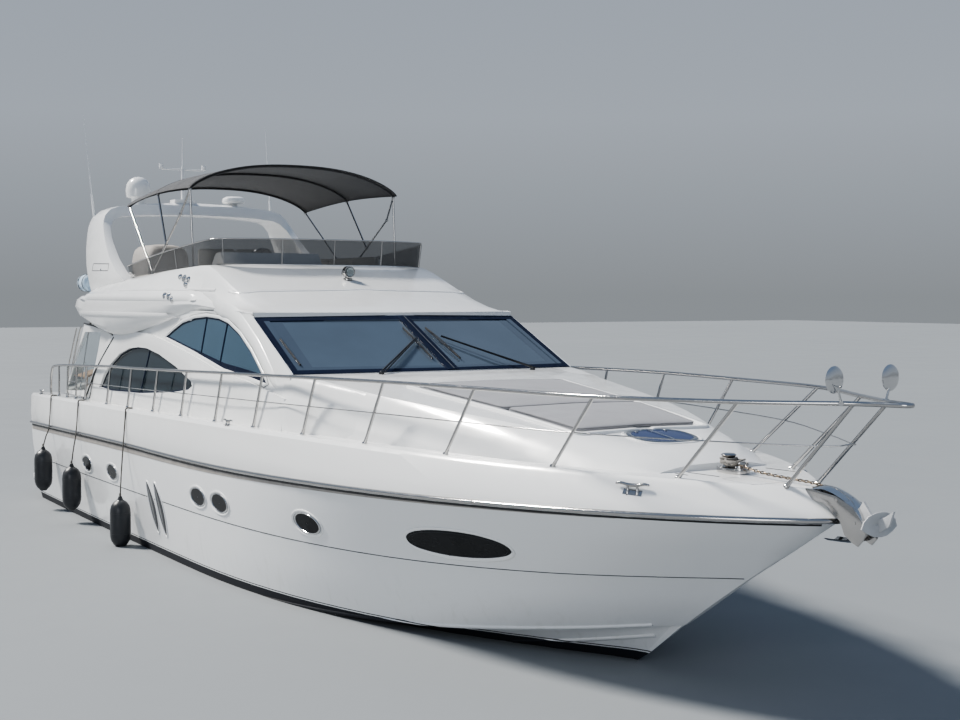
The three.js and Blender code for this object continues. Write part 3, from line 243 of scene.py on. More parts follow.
# Boot stripe: painted bands by height above the waterline
BOOT = [(-9.0, 0.02, (0.012, 0.013, 0.016)), (0.02, 0.118, (0.006, 0.008, 0.014)),
        (0.133, 0.146, (0.01, 0.014, 0.022))]


def hull_paint():
    made = gelcoat("hull_gelcoat", (0.76, 0.775, 0.785))
    z = made.split(made.coordinates, "Z")
    streaks = made.ranged(made.noise(3.2, 5, (3, 3, 0.25)), 0, 0.5, 0.56, 0.8)
    low = made.math("MULTIPLY", streaks, made.ranged(z, 1, 0, 0.15, 0.9))
    colour = made.mix(low, (0.78, 0.79, 0.795), (0.60, 0.605, 0.58))
    painted = None
    for start, end, tone in BOOT:
        above = made.math("GREATER_THAN", z, start)
        below = made.math("LESS_THAN", z, end)
        inside = made.math("MULTIPLY", above, below)
        colour = made.mix(inside, colour, tone)
        painted = inside if painted is None else made.math("MAXIMUM", painted, inside)
    made.link(made.ranged(painted, 0.5, 0.02), made.bsdf.inputs["Coat Weight"])
    rough = made.ranged(made.noise(5), 0.17, 0.27, 0.3, 0.7)
    dull = made.math("MULTIPLY", painted, 0.8)
    made.link(made.math("MAXIMUM", rough, dull), made.bsdf.inputs["Roughness"])
    return made.paint(colour)


def deck_gelcoat():
    # Smooth white moulding; level walked-on faces carry a fine non-slip diamond
    made = gelcoat("deck_gelcoat", (0.82, 0.825, 0.82))
    z = made.split(made.add("NewGeometry").outputs["Normal"], "Z")
    level = made.math("GREATER_THAN", z, 0.985)
    diamond = made.math("MULTIPLY", made.wave(45, "X"), made.wave(45, "Y"))
    return made.bump(made.math("MULTIPLY", diamond, level), 0.0006, 0.5)


def steel(name, colour):
    made = Shader(name, colour, 0.12, 1.0)
    made.vary(7, 0.93, 1.0).rough(40, 0.07, 0.2, 4, (1, 1, 5))
    return made.bump(made.noise(900, 2), 0.00005, 0.3)


def bronze():
    made = Shader("bronze", (0.5, 0.34, 0.17), 0.35, 1.0)
    factor = made.ranged(made.noise(9, 6), 0, 1, 0.5, 0.72)
    made.paint(made.mix(factor, (0.52, 0.36, 0.18), (0.19, 0.28, 0.22))).rough(20, 0.3, 0.6)
    return made.bump(made.noise(60, 4), 0.0008, 0.4)


def glass(name, colour, transmission, gloss=0.5):
    made = Shader(name, colour, 0.03, Transmission_Weight=transmission, IOR=1.5, Specular_IOR_Level=gloss,
                  Coat_Weight=gloss * 0.6, Coat_Roughness=0.02)
    made.vary(1.1, 0.9, 1.06).rough(3, 0.02, 0.06)
    return made.bump(made.noise(0.8, 1), 0.002, 0.1)


def acrylic(name, colour, cover):
    # Thin clear sheet: light passes straight through the share that isn't covered
    made = Shader(name, colour, 0.05, Alpha=cover, Specular_IOR_Level=0.5)
    made.vary(1.1, 0.9, 1.06).rough(3, 0.03, 0.08)
    return made.bump(made.noise(0.8, 1), 0.002, 0.1)


def woven(name, colour, pitch, sheen=0.25, depth=0.0005, dark=0.8):
    made = Shader(name, colour, 0.9, Sheen_Weight=sheen, Sheen_Roughness=0.5)
    made.vary(2.2, dark, 1.04, 6).rough(12, 0.8, 0.97)
    across = made.math("ADD", made.wave(pitch, "X"), made.wave(pitch, "Y"))
    threads = made.math("ADD", across, made.wave(pitch, "Z"))
    return made.bump(made.noise(14, 5), 0.004, 0.25).bump(threads, depth, 0.6)


def rope(name, colour):
    made = Shader(name, colour, 0.8, Sheen_Weight=0.2).vary(30, 0.7, 1.05).rough(40, 0.7, 0.9)
    return made.bump(made.noise(160, 4), 0.0008, 0.8)


def rubber(name, colour):
    made = Shader(name, colour, 0.4).vary(5, 0.75, 1.1).rough(9, 0.28, 0.48)
    return made.bump(made.math("MULTIPLY", made.wave(95, "Z"), made.noise(130, 2)), 0.0006, 0.5)


def teak():
    made = Shader("teak", (0.40, 0.25, 0.14), 0.6)
    grain = made.noise(3, 6, (1, 22, 22))
    plank = made.noise(1.0, 0, (0.3, 18, 1))
    tone = made.ranged(made.math("ADD", grain, plank), 0, 1, 0.75, 1.25)
    wood = made.mix(tone, (0.29, 0.17, 0.09), (0.47, 0.31, 0.18))
    y = made.split(made.coordinates, "Y")
    seam = made.math("LESS_THAN", made.math("FRACT", made.math("MULTIPLY", y, 18.0)), 0.09)
    made.paint(made.mix(seam, wood, (0.015, 0.015, 0.017))).rough(20, 0.5, 0.75)
    return made.bump(made.math("MULTIPLY", grain, -1.0), 0.001, 0.4)


def satin(name, colour, roughness=0.35, gloss=0.5):
    made = Shader(name, colour, roughness, Specular_IOR_Level=gloss)
    made.vary(4, 0.85, 1.1).rough(15, roughness * 0.75, roughness * 1.3)
    return made.bump(made.noise(400, 2), 0.0001, 0.4)


# Looks by slot: each look and its shader
SLOTS = {
    "hull_gelcoat": {"hull": hull_paint()},
    "gelcoat_white": {
        "deck": deck_gelcoat(), "white": gelcoat("white_gelcoat", (0.83, 0.835, 0.83)),
    },
    "stainless": {
        "steel": steel("stainless", (0.50, 0.49, 0.48)),
        "chrome": steel("polished_chrome", (0.66, 0.66, 0.66)),
        "chain": steel("anchor_chain", (0.32, 0.26, 0.20)),
        "galvanised": satin("galvanised_iron", (0.50, 0.51, 0.52), 0.5, 0.4),
    },
    "bronze": {"bronze": bronze()},
    "teak": {"teak": teak()},
    "tinted_glass": {
        "screen": glass("windshield_glass", (0.085, 0.115, 0.155), 0.2),
        "side_glass": glass("side_window_glass", (0.045, 0.095, 0.145), 0.2),
        "aft_glass": glass("aft_window_glass", (0.022, 0.035, 0.045), 0.2, 0.35),
        "port_glass": satin("porthole_glass", (0.012, 0.013, 0.015), 0.16, 0.12),
        "clear": glass("clear_panel", (0.62, 0.72, 0.76), 0.95),
        "hatch_glass": glass("hatch_glass", (0.006, 0.022, 0.095), 0.0, 0.15),
        "frit": glass("windshield_edge_glass", (0.055, 0.074, 0.103), 0.0),
    },
    "smoked_acrylic": {"smoked": acrylic("smoked_acrylic", (0.050, 0.051, 0.053), 0.50)},
    "mirror_glass": {"mirror": Shader("mirror_glass", (0.86, 0.88, 0.9), 0.03, 1.0).rough(6, 0.02, 0.05)},
    "dark_trim": {
        # Mid grey: painted shade in the porthole reveals; also the seam round the chain locker lid
        "shade": satin("moulding_shade", (0.34, 0.35, 0.36), 0.3),
        # Near black: the hull window gasket, and painted shade in the foredeck drain slots
        "recess": satin("gasket_and_painted_slot_shade", (0.035, 0.038, 0.042), 0.5, 0.2),
        # Dark grey line: real seams and beads, and painted shade at the knuckle step and the creases round
        # the side windows
        "line": satin("shut_line_and_painted_crease_shade", (0.10, 0.105, 0.11), 0.5, 0.2),
        "black": satin("black_trim", (0.012, 0.013, 0.016), 0.4),
        "navy": satin("navy_frame", (0.008, 0.013, 0.032), 0.5, 0.08),
        "strake_band": satin("strake_under_band", (0.33, 0.31, 0.29), 0.55, 0.3),
        # Dark grey and mid grey: painted shade in the hollow of the gill vents and on their blades
        "vent": satin("vent_hollow_painted_shade", (0.065, 0.068, 0.074), 0.5, 0.2),
        "blade": satin("vent_blade_painted_shade", (0.17, 0.175, 0.18), 0.4, 0.3),
        "dash": satin("dash_trim", (0.03, 0.033, 0.04), 0.6),
    },
    "canvas_charcoal": {"canvas": woven("canvas_charcoal", (0.052, 0.052, 0.055), 260)},
    "canvas_blue": {"blue_canvas": woven("canvas_blue", (0.40, 0.52, 0.64), 260, 0.2, 0.0004, 0.85)},
    "cushion_grey": {
        "pad": woven("sunpad_cloth", (0.265, 0.268, 0.285), 300, 0.12, 0.0003, 0.93),
        "piping": woven("piping", (0.20, 0.20, 0.21), 320, 0.1, 0.0002),
        "seat": woven("seat_cloth", (0.52, 0.5, 0.46), 280, 0.15, 0.0003, 0.9),
        "cover": woven("seat_cover", (0.40, 0.375, 0.35), 240, 0.2, 0.0004, 0.85),
    },
    "fender_black": {
        "fender": rubber("fender_cover", (0.028, 0.03, 0.034)),
        "rope": rope("fender_lanyard", (0.15, 0.14, 0.125)),
        "warp": rope("anchor_warp", (0.235, 0.22, 0.20)),
    },
}
LOOKS = {look: (slot, shader.material) for slot, shaders in SLOTS.items() for look, shader in shaders.items()}


# Meshes: points closer than this are one
ONE_POINT = 2e-5


def circle(count):
    """Angle, cosine and sine at each of count places round a circle."""
    return [(t, math.cos(t), math.sin(t)) for t in (2 * math.pi * i / count for i in range(count))]


def curve(points, count, closed=False):
    """Smooth run of count points through the ones given."""
    knots = [Vector(p) for p in points]
    last = len(knots) - 1
    spans = last + 1 if closed else last
    made = []
    for k in range(count):
        t = spans * k / (count if closed else count - 1)
        i = min(int(t), spans - 1)
        f = t - i
        near = range(i - 1, i + 3)
        a, b, c, d = (knots[j % (last + 1) if closed else min(max(j, 0), last)] for j in near)
        made.append(0.5 * (
            2 * b + (c - a) * f + (2 * a - 5 * b + 4 * c - d) * f * f + (3 * b - a - 3 * c + d) * f ** 3
        ))
    return made


def grid(rows, closed_rows=False, closed_columns=False, caps=False):
    """Quads over rows of points of one length."""
    count, width = len(rows), len(rows[0])
    points = [p for row in rows for p in row]
    faces = []
    for i in range(count if closed_rows else count - 1):
        for j in range(width if closed_columns else width - 1):
            this, after = i * width, (i + 1) % count * width
            beside = (j + 1) % width
            faces.append((this + j, this + beside, after + beside, after + j))
    if caps:
        faces.append(tuple(reversed(range(width))))
        faces.append(tuple(range((count - 1) * width, count * width)))
    return points, faces


def ways(path, closed=False):
    """Unit directions of a path at its points."""
    last = len(path) - 1
    before = [path[i - 1] if closed or i else path[i] for i in range(last + 1)]
    after = [path[(i + 1) % (last + 1)] if closed or i < last else path[i] for i in range(last + 1)]
    return [(b - a).normalized() for a, b in zip(before, after)]


def swept(path, section, normals=None, closed=False):
    """Section points (across, out) carried along a path. Out follows the normals, if given."""
    rows = []
    out = None
    for i, (point, way) in enumerate(zip(path, ways(path, closed))):
        if normals:
            out = normals[i]
        elif out is None:
            out = UP if abs(way.z) < 0.9 else AHEAD
        out = (out - way * out.dot(way)).normalized()
        across = way.cross(out)
        rows.append([point + across * a + out * b for a, b in section])
    return grid(rows, closed_rows=closed, closed_columns=True, caps=not closed)


def ring(radius, sides=12, squash=1.0):
    return [(radius * c, radius * squash * s) for _, c, s in circle(sides)]


def tube(path, radius, sides=12, closed=False):
    return swept([Vector(p) for p in path], ring(radius, sides), closed=closed)


def turned(profile, centre, axis=UP, sides=24):
    """Profile of (radius, height) turned about an axis through centre."""
    axis = Vector(axis).normalized()
    side = axis.orthogonal().normalized()
    other = axis.cross(side)
    rows = []
    for radius, height in profile:
        level, reach = Vector(centre) + axis * height, max(radius, 1e-5)
        rows.append([level + (side * c + other * s) * reach for _, c, s in circle(sides)])
    return grid(rows, closed_columns=True, caps=True)


def bevelled(mesh, width, angle, **settings):
    edges = [e for e in mesh.edges if len(e.link_faces) == 2 and e.calc_face_angle() > math.radians(angle)]
    bmesh.ops.bevel(mesh, geom=edges, offset=width, segments=2, affect="EDGES", **settings)


def taken(mesh):
    """Points and faces of a bmesh, which is freed."""
    points = [v.co.copy() for v in mesh.verts]
    faces = [tuple(v.index for v in f.verts) for f in mesh.faces]
    mesh.free()
    return points, faces


def block(low, high, radius):
    """Box with rounded edges."""
    made = bmesh.new()
    bmesh.ops.create_cube(made, size=1)
    for v in made.verts:
        v.co = [low[k] + (v.co[k] + 0.5) * (high[k] - low[k]) for k in range(3)]
    bevelled(made, radius, 1, profile=0.5)
    return taken(made)


def merged(*parts):
    points, faces = [], []
    for part_points, part_faces in parts:
        start = len(points)
        points.extend(part_points)
        faces.extend(tuple(start + i for i in f) for f in part_faces)
    return points, faces


def piece(name, part, look, sharp=40, body="vessel", replaces=None, bevel=None):
    mesh = bpy.data.meshes.new(name)
    mesh.from_pydata([tuple(p) for p in part[0]], [], part[1])
    tidy = bmesh.new()
    tidy.from_mesh(mesh)
    bmesh.ops.remove_doubles(tidy, verts=tidy.verts, dist=ONE_POINT)
    if bevel:
        bevelled(tidy, bevel, 35, profile=0.6, clamp_overlap=True)
    bmesh.ops.recalc_face_normals(tidy, faces=tidy.faces)
    tidy.to_mesh(mesh)
    tidy.free()
    mesh.shade_smooth()
    mesh.set_sharp_from_angle(angle=math.radians(sharp))
    made = in_scene(name, mesh)
    slot, material = LOOKS[look]
    mesh.materials.append(material)
    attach(made, body)
    if replaces:
        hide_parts(replaces)
    return made


def both(name, make, look, *settings, **more):
    """The same piece on each side of the boat. make(side) gives its mesh."""
    for label, side in SIDES.items():
        piece(f"{name}_{label}", make(side), look, *settings, **more)


def dressed(node, look, bevel, sharp, body):
    """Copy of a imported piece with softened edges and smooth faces, which stands for it."""
    source = bmesh.new()
    source.from_mesh(NODES[node].data)
    bmesh.ops.remove_doubles(source, verts=source.verts, dist=ONE_POINT)
    bmesh.ops.dissolve_limit(source, angle_limit=math.radians(0.2), verts=source.verts, edges=source.edges,
                             delimit=set())
    if bevel:
        bevelled(source, bevel, sharp, profile=0.6, clamp_overlap=True)
    bmesh.ops.triangulate(source, faces=[f for f in source.faces if len(f.verts) > 4])
    return piece(node + "_skin", taken(source), look, sharp, body, node)


class Surface:
    """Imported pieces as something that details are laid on."""

    def __init__(self, *names):
        points, faces = merged(*(
            ([v.co.copy() for v in mesh.vertices], [tuple(p.vertices) for p in mesh.polygons])
            for mesh in (NODES[name].data for name in names)))
        self.tree = BVHTree.FromPolygons(points, faces)

    def drop(self, point, direction):
        hit, normal, _, _ = self.tree.ray_cast(Vector(point), Vector(direction))
        if hit is not None and normal.dot(Vector(direction)) > 0:
            normal = -normal
        return hit, normal

    def side(self, x, z, side):
        return self.drop((x, side * 6.0, z), (0, -side, 0))

    def down(self, x, y, top=9.0):
        return self.drop((x, y, top), (0, 0, -1))


HULL = Surface("hull")
HOUSE = Surface("deckhouse", "flybridge_moulding")
DECK = Surface("deck_moulding")
FLY = Surface("flybridge_moulding")
ARCH = Surface("radar_arch", "flybridge_moulding")


def flat_band(width, height, sink=0.002):
    """Low rounded section for a strip that lies on a surface."""
    half = width / 2
    return [(-half, -sink), (half, -sink), (half, height * 0.6), (half * 0.7, height),
            (-half * 0.7, height), (-half, height * 0.6)]


def rested(hits, lift=0.0):
    """Points and normals where casts hit a surface."""
    found = [(hit + normal * lift, normal) for hit, normal in hits if hit is not None]
    return [p for p, _ in found], [n for _, n in found]


def laid(outline, side, surface=HULL, lift=0.0):
    """Points and normals of (x, z) on a side of the boat."""
    return rested([surface.side(x, z, side) for x, z in outline], lift)


def banded(place, section, closed=False):
    """Section carried along points, out along their normals."""
    return swept(place[0], section, place[1], closed)


def eased(points, rounds=1):
    """The run with each inner point moved to the mean of itself and its neighbours."""
    for _ in range(rounds):
        inner = [(a + b + c) / 3 for a, b, c in zip(points, points[1:], points[2:])]
        points = [points[0]] + inner + [points[-1]]
    return points


def on_side(point, side):
    return Vector((point[0], side * point[1], point[2]))


# Lines of the hull that fittings stand on: beam, end, fullness, shoulder and heights [x, z]
GUNWALE = (2.56, 9.55, 2.9, 0.83,
           [(-9.65, 2.1), (-4.9, 2.18), (0, 2.265), (3.5, 2.305), (7, 2.275), (9.55, 2.24)])
RUB = (2.56, 9.8, 3.12, 0.81,
       [(-9.65, 1.52), (-4, 1.63), (0, 1.665), (4, 1.78), (7.2, 1.88), (9.8, 1.96)])
KNUCKLE = (2.5, 8.61, 2.6, 1, [(-9.65, 0.85), (-1, 0.905), (4, 0.965), (6.5, 1.06), (8.61, 1.22)])
CHINE = (2.34, 7.6, 2.3, 1,
         [(-9.65, -0.12), (-2, -0.11), (2, -0.02), (4.6, 0.13), (6.2, 0.32), (7.6, 0.55)])
LOWER_RAIL = (0.65, 7.25, 1, 1, [(5.3, 0.01), (5.743, 0.084), (6.282, 0.179), (6.744, 0.271), (7.202, 0.368)])


def along(table, x):
    """Smooth value at x in a table of (x, value)."""
    last = len(table) - 1
    if x <= table[0][0]:
        return table[0][1]
    if x >= table[last][0]:
        return table[last][1]
    i = 0
    while x > table[i + 1][0]:
        i += 1

    def slope(k):
        a, b = table[max(k - 1, 0)], table[min(k + 1, last)]
        return (b[1] - a[1]) / (b[0] - a[0])

    span = table[i + 1][0] - table[i][0]
    t = (x - table[i][0]) / span
    a, b = table[i][1], table[i + 1][1]
    ta, tb = slope(i) * span, slope(i + 1) * span
    t2, t3 = t * t, t * t * t
    return a * (2 * t3 - 3 * t2 + 1) + ta * (t3 - 2 * t2 + t) + b * (3 * t2 - 2 * t3) + tb * (t3 - t2)


def half_breadth(line, x):
    beam, end, fullness, shoulder, _ = line
    aft = max(0, (-1 - x) / 8.65)
    t = min(1, max(0, (x + 1) / (end + 1)))
    return max(0.018, beam * (1 - t ** fullness) ** shoulder - 0.1 * aft * aft)


def stations(start, end, count=70):
    """Places along the boat, closer together towards the bow."""
    return [start + (end - start) * (1 - (1 - k / count) ** 1.5) for k in range(count + 1)]


# Pale floor at the waterline
FLOOR_LINE = (-160, -80, 0, 80, 160)


def make_floor():
    mesh = bpy.data.meshes.new("floor")
    points, faces = grid([[(x, y, 0) for x in FLOOR_LINE] for y in FLOOR_LINE])
    mesh.from_pydata(points, [], faces)
    look = Shader("pale_floor", (0.225, 0.24, 0.252), 0.75).vary(0.05, 0.97, 1.02, 4).rough(0.5, 0.7, 0.85)
    mesh.materials.append(look.material)
    in_scene("floor", mesh)


make_floor()

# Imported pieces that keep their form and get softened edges
MOULDINGS = {
    # node: look, edge radius, angle that counts as an edge
    "hull": ("hull", 0, 24), "deck_moulding": ("deck", 0.012, 30), "deckhouse": ("white", 0.006, 30),
    "flybridge_moulding": ("white", 0.012, 34), "radar_arch": ("white", 0.03, 40),
    "satellite_dome": ("white", 0, 40), "radar_scanner": ("white", 0.008, 34),
    "signal_mast": ("white", 0.006, 40), "whip_antenna_port": ("white", 0, 60),
    "whip_antenna_starboard": ("white", 0, 60), "fly_console": ("white", 0.03, 25),
    "helm_wheel": ("steel", 0, 50), "flybridge_ladder": ("steel", 0.003, 40),
    "cockpit_table": ("teak", 0.008, 30), "cockpit_hatch": ("teak", 0.002, 30),
    "transom_gate": ("white", 0.006, 40), "overhang_pillar_port": ("steel", 0, 50),
    "overhang_pillar_starboard": ("steel", 0, 50), "swim_platform": ("deck", 0.02, 30),
    "rubbing_strake": ("steel", 0, 65), "windlass": ("steel", 0.006, 30),
    "windlass_drum": ("steel", 0.003, 30),
    "propeller_port": ("bronze", 0.002, 40), "propeller_starboard": ("bronze", 0.002, 40),
    "shaft_bracket_port": ("bronze", 0.003, 40), "shaft_bracket_starboard": ("bronze", 0.003, 40),
    "rudder_port": ("bronze", 0.004, 30), "rudder_starboard": ("bronze", 0.004, 30),
    "saloon_dash": ("dash", 0.03, 25), "saloon_door": ("side_glass", 0.004, 40),
}
for node, row in MOULDINGS.items():
    dressed(node, *row, NODES[node]["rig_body"])

GLAZING = {"side_window_aft": "aft_glass", "side_window_fore": "side_glass", "windshield": "screen",
           "saloon_aft_window": "side_glass"}
for node, look in GLAZING.items():
    for name in SIDES:
        materials = NODES[f"{node}_{name}"].data.materials
        materials.clear()
        materials.append(LOOKS[look][1])

# Topsides: painted shade lines at the knuckle step and below the strake, spray rails
STERN = -9.6


def hull_strip(name, line, end, up, width, height, look, start=STERN):
    parts = []
    for side in SIDES.values():
        places = [(x, along(line[4], x) + up) for x in stations(start, end)]
        parts.append(banded(laid(places, side), flat_band(width, height)))
    piece(name, merged(*parts), look, 50)


# The knuckle line is a dark strip of painted shade, standing for the shade of the knuckle step
hull_strip("knuckle_shade_line", KNUCKLE, 8.56, -0.004, 0.013, 0.003, "line")
hull_strip("strake_shadow_band", RUB, 9.76, -0.046, 0.030, 0.006, "black")
hull_strip("spray_rail_upper", CHINE, 7.3, 0.02, 0.045, 0.016, "hull", -1.0)
hull_strip("spray_rail_lower", LOWER_RAIL, 7.15, 0.0, 0.045, 0.016, "hull", 5.4)

# Portholes: x and z of the middle, half length, half height
PORTHOLES = {
    "first": (-5.73, 1.088, 0.33, 0.15), "second": (-4.26, 1.09, 0.33, 0.15),
    "third": (-0.19, 1.163, 0.33, 0.157), "fourth": (0.61, 1.173, 0.33, 0.16),
    "fifth": (3.08, 1.212, 0.33, 0.163),
}
HULL_WINDOW = (5.71, 1.286, 0.752, 0.186)
HULL_WINDOW_LEAN = 0.048
PORT_RIM = [(-0.030, -0.002), (0.010, -0.002), (0.012, 0.008), (0.002, 0.014), (-0.022, 0.003)]
WINDOW_RIM = [(-0.03, -0.002), (0.012, -0.002), (0.014, 0.006), (0.0, 0.012), (-0.024, 0.005)]
PORT_SHARES = (0.02, 0.35, 0.7, 1.0)
WINDOW_SHARES = (0.001, 0.25, 0.5, 0.75, 1.0)


def superellipse(x, z, length, height, count=48, power=2.0, lean=0.0):
    made = []
    for _, c, s in circle(count):
        reach = length * math.copysign(abs(c) ** (2 / power), c)
        made.append((x + reach, z + height * math.copysign(abs(s) ** (2 / power), s) + lean * reach))
    return made


def shrunk(outline, centre, share):
    return [tuple(m + (a - m) * share for m, a in zip(centre, p)) for p in outline]


def laid_sheet(outline, centre, side, lift, shares):
    """Sheet inside an outline of (x, z), laid on a side of the hull all over."""
    return grid([laid(shrunk(outline, centre, f), side, HULL, lift)[0] for f in shares], closed_columns=True)


def strake_band(side):
    """Grey-brown band under the strake, narrowing towards the bow."""
    rows = []
    for x in stations(STERN, 8.0):
        top = along(RUB[4], x) - 0.058
        width = 0.07 - 0.067 * min(1, max(0, (x + 3) / 11.0))
        rows.append(laid([(x, top - width * k / 3) for k in range(4)], side, lift=0.005)[0])
    return grid(rows)


both("strake_band", strake_band, "strake_band")


def lower_lip(x, z, length, height, depth, side, lean=0.0, ends=0.012):
    """Bevel under an oval light: highest along its outer edge, deepest at the bottom."""
    rows = []
    for across, down, lift in ((0, 0, -0.002), (0, 0, 0.014), (ends, depth, 0.004)):
        places = []
        for k in range(37):
            angle = math.pi * (1.04 + 0.92 * k / 36)
            reach = (length - across) * math.cos(angle)
            places.append((x + reach, z + (height - down) * math.sin(angle) + lean * reach))
        rows.append(laid(places, side, lift=lift)[0])
    return grid(rows)


def porthole(label, x, z, length, height):
    x1, z1 = x + 0.010, z + 0.004
    rim = superellipse(x, z, length, height)
    reveal = superellipse(x, z, length * 0.94, height * 0.91)
    edge = superellipse(x1, z1, length * 0.80, height * 0.80)
    pane = superellipse(x1, z1, length * 0.77, height * 0.77)
    both(f"porthole_rim_{label}", lambda side: banded(laid(rim, side), PORT_RIM, True), "white", 60)
    both(f"porthole_lip_{label}", lambda side: lower_lip(x, z, length, height, 0.026, side), "white", 60)
    # The grey reveal is a flat sheet of painted shade, standing for the recess of the port, which is not cut
    # into the hull
    both(f"porthole_reveal_{label}",
         lambda side: laid_sheet(reveal, (x, z), side, 0.003, PORT_SHARES), "shade")
    both(f"porthole_ring_{label}",
         lambda side: banded(laid(edge, side, lift=0.006), ring(0.010, 8), True), "chrome")
    both(f"porthole_glass_{label}",
         lambda side: laid_sheet(pane, (x1, z1), side, 0.007, PORT_SHARES), "port_glass")


for label, row in PORTHOLES.items():
    porthole(label, *row)


def hull_window():
    x, z, length, height = HULL_WINDOW
    rim, gasket, pane = (superellipse(x, z, length * a, height * b, 72, 2.2, HULL_WINDOW_LEAN)
                         for a, b in ((1, 1), (0.90, 0.76), (0.965, 0.9)))
    both("hull_window_rim", lambda side: banded(laid(rim, side), WINDOW_RIM, True), "white", 60)
    both("hull_window_lip",
         lambda side: lower_lip(*HULL_WINDOW, 0.034, side, HULL_WINDOW_LEAN, 0.016), "white", 60)
    both("hull_window_gasket",
         lambda side: banded(laid(gasket, side), flat_band(0.008, 0.007), True), "recess")
    both("hull_window_glass",
         lambda side: laid_sheet(pane, (x, z), side, 0.004, WINDOW_SHARES), "port_glass")


hull_window()

# Gill vents: top and foot of each slot as (x, z)
GILLS = {"forward": ((-2.08, 1.17), (-1.80, 0.35)), "aft": ((-2.44, 1.15), (-2.17, 0.36))}
GILL_SHARES = (0.02, 0.25, 0.5, 0.75, 0.94)


def gill_outline(top, foot, forward, aft, low=0.0, high=1.0):
    """Leaf between two shares of the way from top to foot, bulging forward and aft."""
    def edge(f, bulge):
        bend = bulge * math.sin(math.pi * min(1, (f - low) / (high - low) * 0.96 + 0.02)) ** 0.7
        return top[0] + (foot[0] - top[0]) * f ** 1.15 + bend, top[1] + (foot[1] - top[1]) * f

    shares = [low + (high - low) * k / 18 for k in range(19)]
    return [edge(f, forward) for f in shares] + [edge(f, -aft) for f in reversed(shares)]


def gill(label, top, foot):
    x, z = ((a + b) / 2 for a, b in zip(top, foot))
    leaf = gill_outline(top, foot, 0.20, 0.09)
    blade = gill_outline(top, foot, 0.06, 0.035, 0.06, 0.90)
    both(f"gill_lip_{label}",
         lambda side: banded(laid(leaf, side), flat_band(0.018, 0.012), True), "white", 60)
    # The recess and blade are flat sheets on the hull; their dark and grey colours are painted shade of the
    # vent's hollow, which is not cut
    both(f"gill_recess_{label}",
         lambda side: laid_sheet(leaf, (x + 0.02, z), side, 0.003, GILL_SHARES), "vent")
    both(f"gill_blade_{label}", lambda side: laid_sheet(blade, (x, z), side, 0.006, GILL_SHARES), "blade")


for label, ends in GILLS.items():
    gill(label, *ends)

# Window borders and mullions on the deckhouse sides, outlines as (x, z)
AFT_WINDOW = [
    (-5.630, 2.430), (-5.450, 2.640), (-5.180, 2.830), (-4.700, 3.040), (-4.200, 3.150), (-3.750, 3.185),
    (-3.300, 3.180), (-2.710, 3.110), (-1.880, 2.950), (-1.150, 2.760), (-1.080, 2.690), (-1.230, 2.630),
    (-1.930, 2.550), (-3.420, 2.450), (-5.040, 2.400),
]
FORE_WINDOW = [
    (-2.560, 3.385), (-2.250, 3.500), (-1.900, 3.610), (-1.400, 3.690), (-0.900, 3.720), (-0.400, 3.700),
    (0, 3.640), (0.470, 3.490), (0.950, 3.260), (1.360, 3.010), (1.600, 2.865), (1.000, 2.925), (0, 3.000),
    (-1.300, 3.210),
]
GLASS_FACE = 0.012
GLASS_NORMAL = {side: Vector((0, side, 0.12)).normalized() for side in (1, -1)}


def wall_y(z):
    """Half breadth of the deckhouse side, which leans inward."""
    return 2.2 - 0.12 * (z - 3.0)


def glass_point(x, z, side, out):
    """A point off the outer face of the side glass."""
    return Vector((x, side * (wall_y(z) - GLASS_FACE + out), z))


def outline_points(outline, count):
    knots = [Vector((x, 0, z)) for x, z in outline]
    after = knots[1:] + knots[:1]
    lengths = [(b - a).length for a, b in zip(knots, after)]
    total = sum(lengths)
    made = []
    i, passed = 0, 0.0
    for k in range(count):
        at = total * k / count
        while passed + lengths[i] < at:
            passed += lengths[i]
            i += 1
        made.append(knots[i].lerp(after[i], (at - passed) / lengths[i]))
    return made


def offset_outline(points, distance):
    """The closed run of points in the x-z plane, moved outward."""
    area = sum(a.x * b.z - b.x * a.z for a, b in zip(points, points[1:] + points[:1]))
    reach = distance if area > 0 else -distance
    return [p + Vector((way.z, 0, -way.x)) * reach for p, way in zip(points, ways(points, True))]


def window_border(label, outline):
    line = outline_points(outline, 90)

    def strip(offset, out, *section):
        run = offset_outline(line, offset)
        return lambda side: swept([glass_point(p.x, p.z, side, out) for p in run], flat_band(*section),
                                  [GLASS_NORMAL[side]] * len(run), True)

    both(f"window_border_{label}", strip(-0.008, 0.003, 0.028, 0.004), "navy")
    both(f"window_lip_{label}", strip(0.030, GLASS_FACE, 0.050, 0.014, 0.004), "white", 60)
    # Dark line of painted shade, standing for the crease round the window
    both(f"window_crease_{label}", strip(0.060, GLASS_FACE + 0.001, 0.010, 0.003, 0.004), "line")


window_border("aft", AFT_WINDOW)
window_border("fore", FORE_WINDOW)

# Dark band along the sill of the fore window: (x, z) and width
SILL_BAND = [(-1.7, 3.265, 0.02), (-1.3, 3.222, 0.03), (-0.6, 3.130, 0.04), (0.0, 3.040, 0.07),
             (0.5, 2.998, 0.09), (1.0, 2.962, 0.09), (1.35, 2.930, 0.08), (1.56, 2.880, 0.02)]
MULLIONS = {
    "fore_first": ((-0.89, 3.71), (-0.985, 3.17)), "fore_second": ((-0.06, 3.65), (-0.20, 3.01)),
    "aft": ((-3.27, 3.18), (-3.52, 2.45)),
}


def sill_band(side):
    start, end = SILL_BAND[0][0], SILL_BAND[-1][0]
    rows = []
    for share in (-1, 1):
        row = []
        for k in range(41):
            x = start + (end - start) * k / 40
            z = along([(a, b) for a, b, _ in SILL_BAND], x)
            half = along([(a, c) for a, _, c in SILL_BAND], x) / 2
            row.append(glass_point(x, z + share * half, side, 0.004))
        rows.append(row)
    return grid(rows)


